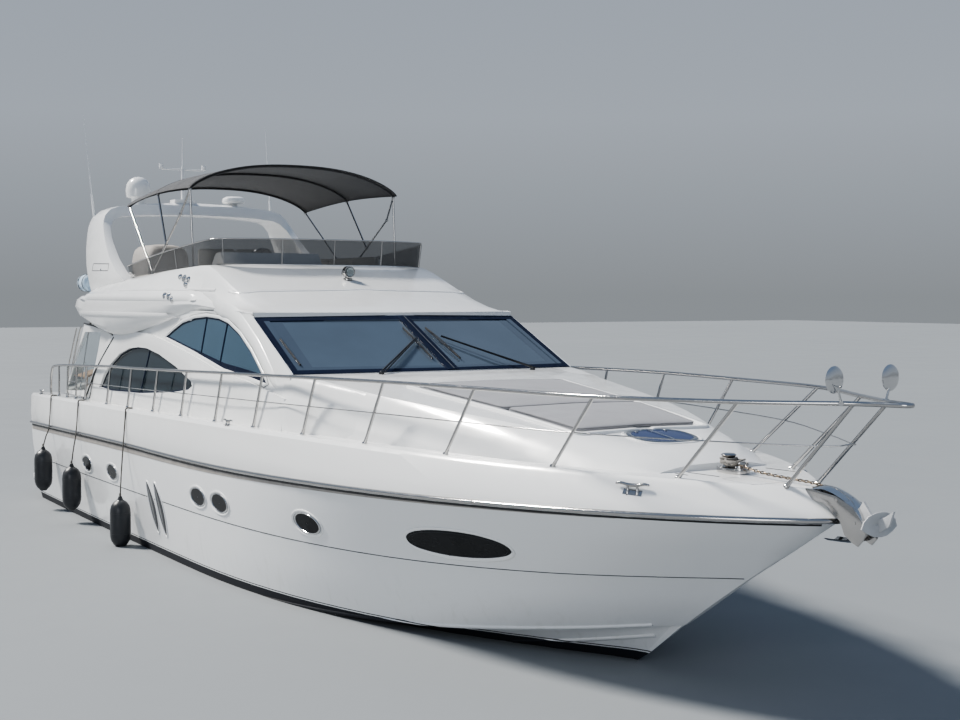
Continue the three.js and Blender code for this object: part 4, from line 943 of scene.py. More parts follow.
def mullion(ends, side):
    head, foot = (glass_point(*end, side, 0.003) for end in ends)
    path = [head.lerp(foot, k / 8) for k in range(9)]
    return swept(path, flat_band(0.034, 0.006), [GLASS_NORMAL[side]] * len(path))


both("window_sill_band", sill_band, "navy")
for label, ends in MULLIONS.items():
    both(f"mullion_{label}", lambda side: mullion(ends, side), "navy")

# Windshield surround, laid on the two raked planes: corners as (x, y)
SCREEN_NORMAL = {side: Vector((0.479, side * 0.099, 1)).normalized() for side in (1, -1)}
SCREEN_OUTER = [(2.735, 0.0), (2.335, 2.165), (0.862, 2.10), (1.255, 0.0)]
SCREEN_INNER = [(2.655, 0.085), (2.262, 2.075), (0.985, 2.005), (1.350, 0.085)]
SCREEN_PANE = [(2.632, 0.087), (2.268, 1.998), (0.995, 1.922), (1.358, 0.087)]
SCREEN_EDGE = [(2.575, 0.089), (2.210, 1.84), (1.05, 1.76), (1.390, 0.089)]
SCREEN_STEPS = 12


def screen_point(x, y, lift=0.0):
    return Vector((x, y, 3.05 + lift - 0.479 * (x - 2.73) - 0.099 * abs(y)))


def screen_rows(side, *levels):
    """For each of the corners and lifts, the points round them."""
    rows = []
    for corners, lift in levels:
        knots = [Vector((*corner, 0)) for corner in corners]
        run = [a.lerp(b, k / SCREEN_STEPS) for a, b in zip(knots, knots[1:] + knots[:1])
               for k in range(SCREEN_STEPS)]
        rows.append([screen_point(p.x, side * p.y, lift) for p in run])
    return rows


def screen_frame(side):
    rows = screen_rows(side, (SCREEN_INNER, -0.008), (SCREEN_INNER, 0.003), (SCREEN_OUTER, 0.003),
                       (SCREEN_OUTER, -0.004))
    return grid(rows, closed_rows=True, closed_columns=True)


def screen_edge(side):
    rows = screen_rows(side, (SCREEN_EDGE, -0.0105), (SCREEN_PANE, -0.0105), (SCREEN_PANE, 0.0015),
                       (SCREEN_INNER, 0.0015))
    return grid([row[:3 * SCREEN_STEPS + 1] for row in rows])


def screen_bar(y, lift):
    return [screen_point(2.72 - 1.45 * k / 10, y, lift) for k in range(11)]


both("windshield_surround", screen_frame, "navy")
both("windshield_edge", screen_edge, "frit")
bars = [swept(screen_bar(side * 0.045, 0.006), flat_band(0.09, 0.010, 0.004), [SCREEN_NORMAL[side]] * 11)
        for side in SIDES.values()]
piece("windshield_mullion", merged(*bars), "navy")
piece("windshield_mullion_bead", tube(screen_bar(0.012, 0.017), 0.004, 8), "line")


def brow_strip():
    """Closing strip between the windshield header and the front edge of the flybridge moulding."""
    places = [-2.08 + 4.16 * k / 52 for k in range(53)]
    low = [screen_point(1.235 - 0.18 * abs(y), y) for y in places]
    high = [Vector((1.236 - 0.188 * abs(y), y, 3.803)) for y in places]
    back = Vector((-0.03, 0, -0.004))
    rows = [low, high, [p + back for p in high], [p + back for p in low]]
    piece("windshield_header", grid(rows, closed_rows=True), "white", 50)


brow_strip()

# Rounded pillar down the flank to the foot of the windshield: (x, z), half width, height
PILLAR = [(-1.30, 4.05, 0.03, 0.0), (-0.90, 3.985, 0.09, 0.012), (-0.42, 3.885, 0.115, 0.022),
          (0.26, 3.735, 0.115, 0.03), (0.88, 3.470, 0.105, 0.03), (1.23, 3.285, 0.10, 0.03),
          (1.76, 2.950, 0.085, 0.024), (2.02, 2.780, 0.03, 0.0)]


def pillar(side):
    line = curve([(x, 0, z) for x, z, _, _ in PILLAR], 61)
    sizes = curve([(half, height, 0) for _, _, half, height in PILLAR], 61)
    reach = [abs(HOUSE.side(p.x, p.z, side)[0].y) for p in line]
    for _ in range(6):
        reach = [max(pair) for pair in zip(reach, eased(reach))]
    rows = []
    for p, way, size, wall in zip(line, ways(line), sizes, reach):
        across = Vector((-way.z, 0, way.x)) * max(0.01, size.x)
        height = max(0.0, size.y) * 1.4
        row = []
        for k in range(13):
            f = -1 + 2 * k / 12
            at = p + across * f
            at.y = side * (wall - 0.012 + height * (1 - abs(f) ** 2.2) ** 0.8 + 0.12 * (p.z - at.z))
            row.append(at)
        rows.append(row)
    return grid(rows)


both("windshield_pillar", pillar, "white", 60)

# Crease of the flybridge moulding: (x, half breadth, z) from its after end, then round the brow
CREASE = [(-4.60, 2.27, 4.125), (-4.23, 2.256, 4.123), (-3.60, 2.226, 4.128), (-2.78, 2.17, 4.128),
          (-2.09, 2.088, 4.127), (-1.46, 2.010, 4.126), (-0.90, 1.975, 4.118)]
BROW_CREASE = [(-0.45, 1.93, 4.10), (-0.17, 1.85, 4.08), (-0.10, 1.44, 4.103), (-0.05, 0.99, 4.112),
               (0.02, 0.31, 4.122)]


def creases():
    parts = []
    for side in SIDES.values():
        run = curve([(x, side * y, z) for x, y, z in CREASE], 60)
        parts.append(banded(laid([(p.x, p.z) for p in run], side, FLY), flat_band(0.040, 0.010, 0.006)))
    run = curve(BROW_CREASE + [(x, -y, z) for x, y, z in BROW_CREASE[::-1]], 90)
    path, normals = rested([FLY.down(p.x, p.y) for p in run])
    parts.append(swept(eased(path, 3), flat_band(0.060, 0.012, 0.008), normals))
    piece("flybridge_crease", merged(*parts), "white", 50)


creases()
beads = [tube([(x, side * 2.09, 3.792) for x in (-1.7, 0.85)], 0.018, 10) for side in SIDES.values()]
piece("header_side_beads", merged(*beads), "white")


def house_run(knots, count, side):
    """Smooth run through points of (x, z), laid on a side of the deckhouse."""
    return laid([(p.x, p.z) for p in curve([(x, 0, z) for x, z in knots], count)], side, HOUSE)


def overhang_ridge(label, knots, width, height):
    """Low raised band on both sides, running out at its ends."""
    count = 60
    parts = []
    for side in SIDES.values():
        path, normals = house_run(knots, count, side)
        rows = []
        for i, (p, way, out) in enumerate(zip(path, ways(path), normals)):
            across = out.cross(way).normalized() * width / 2
            rise = height * min(1, (1 - abs(2 * i / (count - 1) - 1)) * 6)
            rows.append([p + across * f + out * (rise * (1 - f * f) - 0.002)
                         for f in (-1, -0.8, -0.55, -0.3, 0, 0.3, 0.55, 0.8, 1)])
        parts.append(grid(rows))
    piece(f"overhang_ridge_{label}", merged(*parts), "white", 50)


overhang_ridge("upper", [(x, 4.0) for x in (-7.4, -5.5, -3.5, -1.3)], 0.12, 0.018)
overhang_ridge("lower", [(x, 3.71) for x in (-6.8, -5.0, -3.3, -1.5)], 0.11, 0.016)


def trunk_fairing(side):
    """Smooth filling between the side of the deckhouse and the foredeck trunk."""
    aft, fore, trunk_end = 2.16, 4.00, 2.40
    rows = []
    for i in range(47):
        t = i / 46
        x = aft + (fore - aft) * t
        at = max(x, trunk_end)
        keep = 1 - t * t * (3 - 2 * t)
        lift = 0.003 - 0.007 * t
        shoulder = DECK.down(at, side * 1.90)[0].z - 0.075
        row = []
        for k in range(11):
            z = 2.27 + (shoulder - 2.27) * k / 10
            clear = max(z, 2.38)
            wall = abs(HOUSE.side(2.25, clear, side)[0].y) - abs(DECK.side(trunk_end, clear, side)[0].y)
            trunk = abs(DECK.side(at, clear, side)[0].y)
            row.append(Vector((x, side * (trunk + wall * keep + lift), z)))
        inner = 1.80 - 0.10 * t
        for k in range(1, 9):
            f = k / 8
            y = trunk + (inner - trunk) * f
            z = DECK.down(at, side * y)[0].z
            row.append(Vector((x, side * (y + wall * keep * (1 - f)), z + lift)))
        rows.append(row)
    return grid(rows)


both("trunk_fairing", trunk_fairing, "deck", 70)

# Side wing under the overhang: clear light, frame round it and its edge seal as (x, z)
WING_LIGHT = [(-6.98, 3.36), (-6.49, 3.375), (-5.99, 3.38), (-6.04, 3.10), (-6.13, 2.79), (-6.28, 2.55),
              (-6.45, 2.33), (-7.00, 2.29), (-7.74, 2.25), (-7.60, 2.50), (-7.46, 2.73), (-7.25, 3.00)]
WING_FRAME = [(-7.06, 3.52), (-6.10, 3.45), (-5.27, 3.33), (-5.62, 3.05), (-5.98, 2.79), (-6.24, 2.48),
              (-6.46, 2.20), (-7.05, 2.20), (-7.80, 2.20), (-7.66, 2.49), (-7.51, 2.73), (-7.29, 3.02)]
WING_GASKET = [(-5.10, 3.31), (-5.44, 3.08), (-5.78, 2.83), (-5.97, 2.62), (-6.035, 2.45), (-6.10, 2.20)]
WING_MIDDLE = (-6.75, 2.80)


def wing_row(places, side, out):
    return [Vector((x, side * (wall_y(z) - 0.010 + out), z)) for x, z in places]


def wings():
    light, edge = ([(p.x, p.z) for p in outline_points(outline, 96)] for outline in (WING_LIGHT, WING_FRAME))

    def wing_frame(side):
        levels = ((light, -0.012), (light, 0.008), (edge, 0.008), (edge, -0.012))
        return grid([wing_row(run, side, out) for run, out in levels], True, True)

    def wing_light(side):
        return grid([wing_row(shrunk(light, WING_MIDDLE, f), side, -0.002) for f in (0.02, 0.5, 1.0)],
                    closed_columns=True)

    def poles(side):
        y, y1 = side * 2.235, side * 2.26
        long_pole = curve([(-6.95, y, 3.45), (-7.10, y, 3.30), (-7.52, y, 2.73), (-7.74, y, 2.19)], 24)
        short_pole = [(-7.15, y1, 3.42), (-7.64, y1, 2.795), (-7.82, y1, 2.19)]
        return merged(tube(long_pole, 0.016, 12), tube(short_pole, 0.013, 12))

    both("wing_frame", wing_frame, "white", 50)
    both("wing_light", wing_light, "clear")
    both("wing_seal", lambda side: tube(curve(wing_row(WING_FRAME[:7], side, 0.014), 60), 0.014, 10), "black")
    both("wing_gasket",
         lambda side: banded(house_run(WING_GASKET, 40, side), flat_band(0.026, 0.008)), "black")
    both("wing_poles", poles, "steel")


wings()

# Wipers: pivot on the trunk, arm end, blade ends as (x, y) on the glass
WIPERS = {
    "starboard": ((2.66, -1.06), (1.95, -0.16), (1.60, -0.17), (2.43, -0.16)),
    "port": ((2.62, 1.33), (1.87, 0.29), (1.60, 0.19), (2.42, 0.28)),
}
QUARTER_BLADE = ((1.50, -1.98), (2.16, -1.99))
WIPER_BOSS = [(0, -0.01), (0.035, -0.01), (0.035, 0.02), (0.022, 0.045), (0, 0.05)]


def blade_line(start, end, lift):
    """Eleven points on the glass from start to end."""
    return [screen_point(*(a + (b - a) * k / 10 for a, b in zip(start, end)), lift) for k in range(11)]


def wiper(name, pivot, arm_end, start, end):
    foot = DECK.down(*pivot)[0] or screen_point(*pivot)
    elbow = foot.lerp(screen_point(*arm_end, 0.05), 0.35) + UP * 0.02
    offset = Vector((0.035, 0.03, 0))
    blade = blade_line(start, end, 0.022)
    spine = [p + UP * 0.016 * math.sin(math.pi * k / 10) for k, p in enumerate(blade)]
    piece(f"wiper_{name}", merged(
        turned(WIPER_BOSS, foot, SCREEN_NORMAL[1], 20),
        tube([foot + UP * 0.035, elbow, screen_point(*arm_end, 0.045)], 0.013, 8),
        tube([foot + offset + UP * 0.03, screen_point(*arm_end, 0.04) + offset * 0.3], 0.010, 8),
        swept(spine, ring(0.009, 8)),
        swept([p - UP * 0.014 for p in blade], ring(0.006, 6, 1.5)),
    ), "black")


for name, row in WIPERS.items():
    wiper(name, *row)
piece("wiper_quarter", swept(blade_line(*QUARTER_BLADE, 0.012), ring(0.013, 8)), "black")

# Guard rail: foot x, top x, top half breadth, top height
STANCHIONS = [
    (-4.96, -4.88, 2.33, 2.82), (-3.79, -3.70, 2.345, 2.845), (-2.51, -2.39, 2.35, 2.88),
    (-1.23, -1.09, 2.35, 2.915), (0.15, 0.32, 2.35, 2.955), (1.48, 1.70, 2.325, 2.99),
    (2.87, 3.15, 2.235, 3.02), (4.26, 4.63, 2.06, 3.045), (5.66, 6.25, 1.81, 3.055),
    (7.09, 7.985, 1.50, 3.06), (8.38, 9.29, 0.795, 3.065), (9.32, 10.18, 0.22, 3.085),
]
RAIL_AFT = [(-8.70, 2.33, 2.25), (-8.62, 2.33, 2.56), (-8.30, 2.33, 2.69), (-6.60, 2.33, 2.76)]
PULPIT_TIP, WIRE_TIP = (10.65, 0, 3.09), (9.95, 0, 2.69)
AFT_POSTS = (-8.10, -7.50, -6.90, -6.30)
WIRE_AFT = (-7.50, -6.30)
RAIL_RADIUS, POST_RADIUS, WIRE_RADIUS = 0.023, 0.0185, 0.007
POST_SOCKET = [(0, -0.01), (0.034, -0.01), (0.034, 0.006), (0.026, 0.012), (0.021, 0.03), (0.020, 0.075),
               (0, 0.076)]
LEG_FOOT = [(0, -0.01), (0.040, -0.01), (0.040, 0.006), (0, 0.012)]


def rail_foot(x, side):
    half = max(0.2, half_breadth(GUNWALE, x) - 0.16)
    hit, _ = DECK.down(x, side * half, 2.45)
    return Vector((x, side * half, hit.z if hit else along(GUNWALE[4], x)))


def guard_rail():
    parts, rails, wires = [], [], []
    for side in SIDES.values():
        heads = [on_side(row[1:], side) for row in STANCHIONS]
        top = [on_side(p, side) for p in RAIL_AFT] + heads
        heights = [(p.x, p.z) for p in top]
        aft_heads = {x: Vector((x, side * 2.33, along(heights, x))) for x in AFT_POSTS}
        posts = [(row[0], head) for row, head in zip(STANCHIONS, heads)]
        for foot_x, head in posts + list(aft_heads.items()):
            foot = rail_foot(foot_x, side)
            way = (head - foot).normalized()
            parts.append(tube([foot, head - way * 0.004], POST_RADIUS, 12))
            parts.append(turned(POST_SOCKET, foot, way, 16))
        leg = rail_foot(RAIL_AFT[0][0], side)
        parts.append(tube([leg, top[0]], RAIL_RADIUS, 14))
        parts.append(turned(LEG_FOOT, leg, top[0] - leg, 16))
        rails.append(top)
        wires.append([rail_foot(x, side).lerp(head, 0.5)
                      for x, head in [(x, aft_heads[x]) for x in WIRE_AFT] + posts])
    parts.append(tube(curve(rails[0] + [PULPIT_TIP] + rails[1][::-1], 260), RAIL_RADIUS, 14))
    parts.append(tube(curve(wires[0] + [WIRE_TIP] + wires[1][::-1], 160), WIRE_RADIUS, 8))
    piece("guard_rail_tubes", merged(*parts), "steel", 60, replaces="guard_rail")


guard_rail()

# Round mirrors on the pulpit: foot of the post, centre of the disc
MIRROR_FOOT, MIRROR_CENTRE = (10.09, 0.285, 3.083), (10.09, 0.355, 3.298)
MIRROR_TURN = 0.10
MIRROR_BACK = [(0, 0.018), (0.05, 0.017), (0.09, 0.010), (0.117, -0.006), (0.125, -0.016), (0.122, -0.019),
               (0.116, -0.012), (0, -0.010)]
MIRROR_FACE = [(0, 0.004), (0.06, 0.0035), (0.09, 0.001), (0.115, -0.003)]
MIRROR_CLAMP = [(0, -0.026), (0.024, -0.026), (0.026, 0), (0.024, 0.026), (0, 0.026)]


def mirrors():
    facing = Vector((-math.cos(MIRROR_TURN), -math.sin(MIRROR_TURN), 0))
    for name, side in SIDES.items():
        foot, centre = on_side(MIRROR_FOOT, side), on_side(MIRROR_CENTRE, side)
        post = tube([foot + UP * 0.008, foot.lerp(centre, 0.3), foot.lerp(centre, 0.62)], 0.012, 12)
        clamp = turned(MIRROR_CLAMP, foot, (0.5, side * 0.5, 0), 18)
        shell = merged(turned(MIRROR_BACK, centre, -facing, 40), post, clamp)
        piece(f"mirror_shell_{name}", shell, "chrome", 45, replaces=f"docking_mirror_{name}")
        piece(f"mirror_face_{name}", turned(MIRROR_FACE, centre + facing * 0.011, facing, 40), "mirror")


mirrors()

# Wind deflector: x, half breadth, foot, top
DEFLECTOR = [
    (-1.08, 0, 4.51, 4.90), (-1.13, 0.90, 4.51, 4.90), (-1.23, 1.50, 4.50, 4.895),
    (-1.38, 1.74, 4.49, 4.89), (-1.70, 1.85, 4.485, 4.86), (-2.60, 1.905, 4.45, 4.78),
    (-3.70, 1.93, 4.405, 4.68), (-5.00, 1.935, 4.33, 4.54),
]
DEFLECTOR_LEAN, DEFLECTOR_THICK, DEFLECTOR_GAP = 0.045, 0.01, 0.006
# Point of the panel at each post, and its radius
DEFLECTOR_POSTS = {16: 0.007, 37: 0.007, 52: 0.011, 60: 0.007, 68: 0.011, 83: 0.007, 104: 0.007}


def deflector():
    round_bow = [(x, -y, foot, top) for x, y, foot, top in DEFLECTOR[:0:-1]] + DEFLECTOR
    line = curve([(x, y, 0) for x, y, _, _ in round_bow], 120)
    heights = curve([(foot, top, 0) for _, _, foot, top in round_bow], 120)

    def row(inset, level, share=1.0, rise=0.0):
        """Points of the panel at a share of its height."""
        made = []
        for p, way, (foot, top, _) in zip(line, ways(line), heights):
            foot += DEFLECTOR_GAP
            out = Vector((way.y, -way.x, 0)) * (DEFLECTOR_LEAN * level - inset) * share
            made.append(p + out + UP * (foot + (top - foot) * level + rise))
        return made

    outer = [row(0, level) for level in (0, 0.5, 1)]
    inner = [row(DEFLECTOR_THICK, level) for level in (1, 0.5, 0)]
    piece("deflector_panel", grid(outer + inner, closed_rows=True), "smoked", replaces="wind_deflector")
    rail = row(0, 1, 0.97, 0.004)
    posts = [tube([outer[0][k] - UP * 0.01, outer[1][k], rail[k]], radius, 10)
             for k, radius in DEFLECTOR_POSTS.items()]
    piece("deflector_rail", merged(tube(rail, 0.0085, 10), *posts), "steel", 60)


deflector()

# Bimini: x and heights of its ends, crown of the canopy, places of its bows and seams
BIMINI_AFT, BIMINI_FORE = -5.80, -2.33
EDGE_AFT, EDGE_FORE, CROWN = 5.61, 5.73, 0.43
CANOPY_THICK, CLOTH = 0.012, 0.003
BOW_RADIUS, POLE_RADIUS = 0.014, 0.017
BOWS = (0.02, 0.5, 0.98)
PANEL_SEAMS = (0.26, 0.74)
BIMINI_FEET = [(-4.18, 1.815, 4.40), (-2.30, 1.79, 4.49)]
BIMINI_FOOT = [(0, -0.01), (0.034, -0.01), (0.034, 0.01), (0.02, 0.02), (0.016, 0.06), (0, 0.07)]
BIMINI_JOINT = [(0, -0.022), (0.02, -0.022), (0.024, -0.01), (0.024, 0.01), (0.02, 0.022), (0, 0.022)]


def canopy_point(s, v, sink):
    x = BIMINI_AFT + (BIMINI_FORE - BIMINI_AFT) * s
    half = 1.72 + 0.11 * s - sink
    edge = EDGE_AFT + (EDGE_FORE - EDGE_AFT) * s + 0.07 * math.sin(math.pi * s)
    lift = (1 - min(1, abs(v)) ** 2.4) ** 0.75
    return Vector((x, half * v, edge - sink + (CROWN - 0.04 * (1 - s)) * lift))


def bow_shares(steps):
    """Places across the canopy, closer together towards its edges."""
    return [math.sin((math.pi / 2) * (j / steps - 1)) for j in range(2 * steps + 1)]


def walled(upper, lower, rim):
    """Two sheets of one layout, closed along a rim of point numbers."""
    start = len(upper[0])
    points, faces = merged(upper, lower)
    faces.extend((b, a, start + a, start + b) for a, b in zip(rim, rim[1:] + rim[:1]))
    return points, faces


def canopy():
    across = bow_shares(40)
    last, width = 48, len(across)
    rows = []
    for i in range(last + 1):
        s = i / last
        # cloth sinks a little between the bows and is tight over them
        dip = 0.02 * math.sin(2 * math.pi * s) ** 2
        rows.append([canopy_point(s, v, 0.001) - UP * dip * (1 - abs(v) ** 3) for v in across])
    under = [[p - UP * CLOTH for p in row] for row in rows]
    rim = [i * width for i in range(last)] + [last * width + j for j in range(width - 1)]
    rim += [i * width + width - 1 for i in range(last, 0, -1)] + list(range(width - 1, 0, -1))
    top = grid(rows)
    made = piece("canopy_cloth", walled(top, grid(under), rim), "canvas", 60, replaces="bimini_canopy")
    edges = (under[0], under[-1], [row[0] for row in under], [row[-1] for row in under])
    sewn = [swept(edge, ring(0.006, 8, 1.6)) for edge in edges]
    for s in (*BOWS, *PANEL_SEAMS):
        for ahead in (0.03, -0.03) if s in BOWS else (0.03,):
            line = [p + Vector((ahead, 0, 0.001)) for p in rows[round(s * last)]]
            sewn.append(swept(line, flat_band(0.004, 0.0015, 0.001), [UP] * width))
    hem = piece("canopy_hem", merged(*sewn), "canvas", 60)
    pockets = [tube([canopy_point(s, v, CANOPY_THICK + BOW_RADIUS) for v in across[2:-2]], BOW_RADIUS + 0.005)
               for s in BOWS]
    pocket = piece("canopy_pockets", merged(*pockets), "canvas", 60)


def bimini_frame():
    sink = CANOPY_THICK + BOW_RADIUS
    parts = [tube([canopy_point(s, v, sink) for v in bow_shares(24)], BOW_RADIUS) for s in BOWS]
    for side in SIDES.values():
        aft, middle, fore = (canopy_point(s, side, sink) for s in BOWS)
        feet = [on_side(foot, side) for foot in BIMINI_FEET]
        feet = [FLY.down(foot.x, foot.y, 4.9)[0] or foot for foot in feet]
        parts.extend(turned(BIMINI_FOOT, foot, sides=16) for foot in feet)
        long_foot, short_foot = (foot + UP * 0.045 for foot in feet)
        elbow, knee = Vector((-2.72, side * 1.845, 5.33)), Vector((-3.45, side * 1.83, 4.865))
        poles = ((long_foot, aft), (long_foot, elbow), (elbow, fore), (knee, middle), (short_foot, fore))
        parts.extend(tube(ends, POLE_RADIUS) for ends in poles)
        parts.extend(turned(BIMINI_JOINT, p, ABEAM, 14) for p in (elbow, knee, aft, middle, fore))
    piece("bimini_tubes", merged(*parts), "steel", 60, replaces="bimini_frame")


canopy()
bimini_frame()

# Chrome snaps on the flank of the flybridge: x, z, radius
FLANK_SNAPS = {
    "fore": [(-2.27, 4.325, 0.045), (-2.10, 4.300, 0.060), (-1.93, 4.285, 0.045), (-1.97, 4.205, 0.050)],
    "aft": [(-2.40, 4.030, 0.055), (-2.25, 4.020, 0.060), (-2.12, 3.975, 0.050)],
}
# Hatch in the foot of the arch
ARCH_HATCH = [(-6.86, 4.48), (-6.85, 4.61), (-5.90, 4.59), (-5.90, 4.47)]
ARCH_LATCH = [(0, -0.003), (0.022, -0.003), (0.022, 0.004), (0.014, 0.010), (0, 0.011)]


def flank_snaps(places):
    parts = []
    for side in SIDES.values():
        for x, z, size in places:
            hit, normal = FLY.side(x, z, side)
            if hit is not None:
                parts.append(turned([(0, -0.004), (size, -0.003), (size, 0.010), (size * 0.8, 0.022),
                                     (size * 0.55, 0.020), (size * 0.4, 0.036), (0, 0.040)], hit, normal, 22))
    return merged(*parts)


def arch_hatch_seam(side):
    line = [(p.x, p.z) for p in outline_points(ARCH_HATCH, 60)]
    return banded(laid(line, side, ARCH, 0.001), flat_band(0.012, 0.002, 0.001), True)


for label, places in FLANK_SNAPS.items():
    piece(f"flank_snaps_{label}", flank_snaps(places), "chrome")
both("arch_hatch_seam", arch_hatch_seam, "line")
both("arch_hatch_latch", lambda side: turned(ARCH_LATCH, *ARCH.side(-6.33, 4.49, side), 20), "chrome")


# Soft goods
def rounded_outline(low, high, radius, per_corner):
    """Corner points of a rounded rectangle in (a, b), counter-clockwise."""
    (a0, b0), (a1, b1) = low, high
    corners = [(a1 - radius, b0 + radius, -90), (a1 - radius, b1 - radius, 0),
               (a0 + radius, b1 - radius, 90), (a0 + radius, b0 + radius, 180)]
    made = []
    for a, b, start in corners:
        for k in range(per_corner + 1):
            angle = math.radians(start + 90 * k / per_corner)
            made.append((a + radius * math.cos(angle), b + radius * math.sin(angle)))
    return made


def refined(outline, step):
    """The closed outline with points no further apart than step."""
    made = []
    for (a, b), (c, d) in zip(outline, outline[1:] + outline[:1]):
        count = max(1, math.ceil(math.hypot(c - a, d - b) / step))
        made.extend((a + (c - a) * k / count, b + (d - b) * k / count) for k in range(count))
    return made


# Edge of a cushion: share of its outline, share of its thickness
EDGE_STEPS = [(0.02, 1.0), (0.2, 1.0), (0.4, 0.995), (0.6, 0.985), (0.78, 0.965), (0.9, 0.93), (0.955, 0.88),
              (0.985, 0.78), (1.0, 0.62), (1.004, 0.42), (1.0, 0.2), (0.985, 0.04), (0.96, 0.0)]


def pad(name, outline, base, up, thickness, crown, seed, look="seat", replaces=None, grain=0.0, piping=0.006):
    """Crowned cushion over an outline. base(a, b) gives the place on what it rests on, up its outward way."""
    middle = [sum(p[k] for p in outline) / len(outline) for k in (0, 1)]
    reach_a, reach_b = (max(abs(p[k] - middle[k]) for p in outline) for k in (0, 1))
    random.seed(seed)
    phases = [random.uniform(0, 6.28) for _ in range(4)]
    rows = []
    for f, share in EDGE_STEPS:
        row = []
        for a, b in outline:
            u, v = (a - middle[0]) / reach_a, (b - middle[1]) / reach_b
            pull = f * (1 - 0.012 * (1 - u * u * v * v) * (f > 0.9))
            swell = crown * (1 - (u * f) ** 2) * (1 - (v * f) ** 2) * (share > 0.9)
            wrinkle = grain * (share > 0.5) * sum(
                math.sin(phase + (5 + 4 * k) * u * f + (7 - 3 * k) * v * f) for k, phase in enumerate(phases))
            place = base(middle[0] + (a - middle[0]) * pull, middle[1] + (b - middle[1]) * pull)
            row.append(place + up * (thickness * share + swell + wrinkle))
        rows.append(row)
    made = piece(name, grid(rows, closed_columns=True, caps=True), look, 70, replaces=replaces)
    seam, low = ([base(*p) + up * thickness * height for p in shrunk(outline, middle, share)]
                 for share, height in ((0.996, 0.66), (0.99, 0.12)))
    cord = merged(tube(seam, piping, 8, closed=True), tube(low, piping * 0.8, 8, closed=True))
    piece(name + "_piping", cord, "piping" if look == "pad" else look, 70)


SUNPADS = {
    # node: after end, forward end, half breadth there, seed
    "sunpad_aft": (3.65, 5.49, 1.10, 0.96, 3), "sunpad_fore": (5.51, 6.78, 0.955, 0.82, 4),
}
SUNPAD_THICK = 0.052
TRUNK_NORMAL = Vector((0.1, 0, 1)).normalized()


def tapered(x0, x1, half0, half1, corner, per_corner, gap, step):
    """Rounded outline between x0 and x1, its breadth going from half0 to half1."""
    made = []
    for a, b in rounded_outline((x0 + gap, -1.0), (x1 - gap, 1.0), corner, per_corner):
        made.append((a, b * (half0 + (half1 - half0) * (a - x0) / (x1 - x0) - gap)))
    return refined(made, step)


for node, (x0, x1, half0, half1, seed) in SUNPADS.items():
    pad(node + "_cushion", tapered(x0, x1, half0, half1, 0.09, 6, 0.008, 0.05),
        lambda x, y: DECK.down(x, y)[0] + UP * 0.0005, TRUNK_NORMAL, SUNPAD_THICK, 0.014, seed, "pad", node,
        0.0008, 0.007)
rim, _ = rested([DECK.down(x, y) for x, y in tapered(3.56, 6.88, 1.19, 0.905, 0.10, 8, 0, 0.08)])
piece("sunpad_border", swept(rim, flat_band(0.075, 0.03, 0.01), [TRUNK_NORMAL] * len(rim), True), "white", 60)


def cushion(name, low, high, corner, base, up, thickness, crown, seed):
    """Loose cushion between two corners in (a, b)."""
    pad(name, refined(rounded_outline(low, high, corner, 5), 0.05), base, up, thickness, crown, seed)


def settee(node, y_back, x0, x1, base, seat_height, back_height):
    """Bench along the port side: moulded base with four loose seat and back cushions."""
    seat, back = base + seat_height, base + back_height
    body = block((x0, y_back - 0.60, base), (x1, y_back, seat - 0.10), 0.02)
    rest = block((x0, y_back - 0.05, seat - 0.12), (x1, y_back, back - 0.04), 0.015)
    piece(node + "_base", merged(body, rest), "white", replaces=node)
    lean = Vector((0, -1, 0.12)).normalized()
    length = (x1 - x0) / 4
    for i in range(4):
        a0, a1 = x0 + length * i + 0.006, x0 + length * (i + 1) - 0.006
        cushion(f"{node}_seat_{i}", (a0, y_back - 0.595), (a1, y_back - 0.17), 0.05,
                lambda a, b: Vector((a, b, seat - 0.1)), UP, 0.085, 0.012, i)
        cushion(f"{node}_back_{i}", (a0, seat), (a1, back), 0.05,
                lambda a, b: Vector((a, y_back - 0.055 + 0.03 * (b - seat), b)), lean, 0.08, 0.012, i + 9)


def helm_seat(node, x_back, x_front, y0, y1, base, seat, back):
    """Bolstered bench for two on a moulded pedestal."""
    shell = block((x_back + 0.04, y0 + 0.03, base), (x_front - 0.03, y1 - 0.03, seat - 0.11), 0.02)
    piece(node + "_base", shell, "white", replaces=node)
    middle = (y0 + y1) / 2
    for i, (a, b) in enumerate(((y0 + 0.008, middle - 0.008), (middle + 0.008, y1 - 0.008))):
        cushion(f"{node}_seat_{i}", (x_back + 0.13, a), (x_front, b), 0.06,
                lambda p, q: Vector((p, q, seat - 0.11)), UP, 0.095, 0.012, i)
        cushion(f"{node}_back_{i}", (a, seat - 0.06), (b, back - 0.01), 0.06,
                lambda p, q: Vector((x_back + 0.01, p, q)), AHEAD, 0.095, 0.012, i + 5)


def cockpit_bench(node="cockpit_seat", seat=1.985):
    shell = merged(block((-9.33, -1.20, 1.6603), (-8.76, 0.60, seat), 0.02),
                   block((-9.33, -1.20, 1.9), (-9.28, 0.60, 2.38), 0.015))
    piece(node + "_base", shell, "white", replaces=node)
    for i, (y0, y1) in enumerate(((-1.192, -0.308), (-0.292, 0.592))):
        cushion(f"{node}_seat_{i}", (-9.18, y0), (-8.755, y1), 0.05, lambda a, b: Vector((a, b, seat)), UP,
                0.085, 0.01, i)
        cushion(f"{node}_back_{i}", (y0, 2.07), (y1, 2.41), 0.05,
                lambda a, b: Vector((-9.278 - 0.03 * (b - 2.07), a, b)), AHEAD, 0.075, 0.01, i + 5)


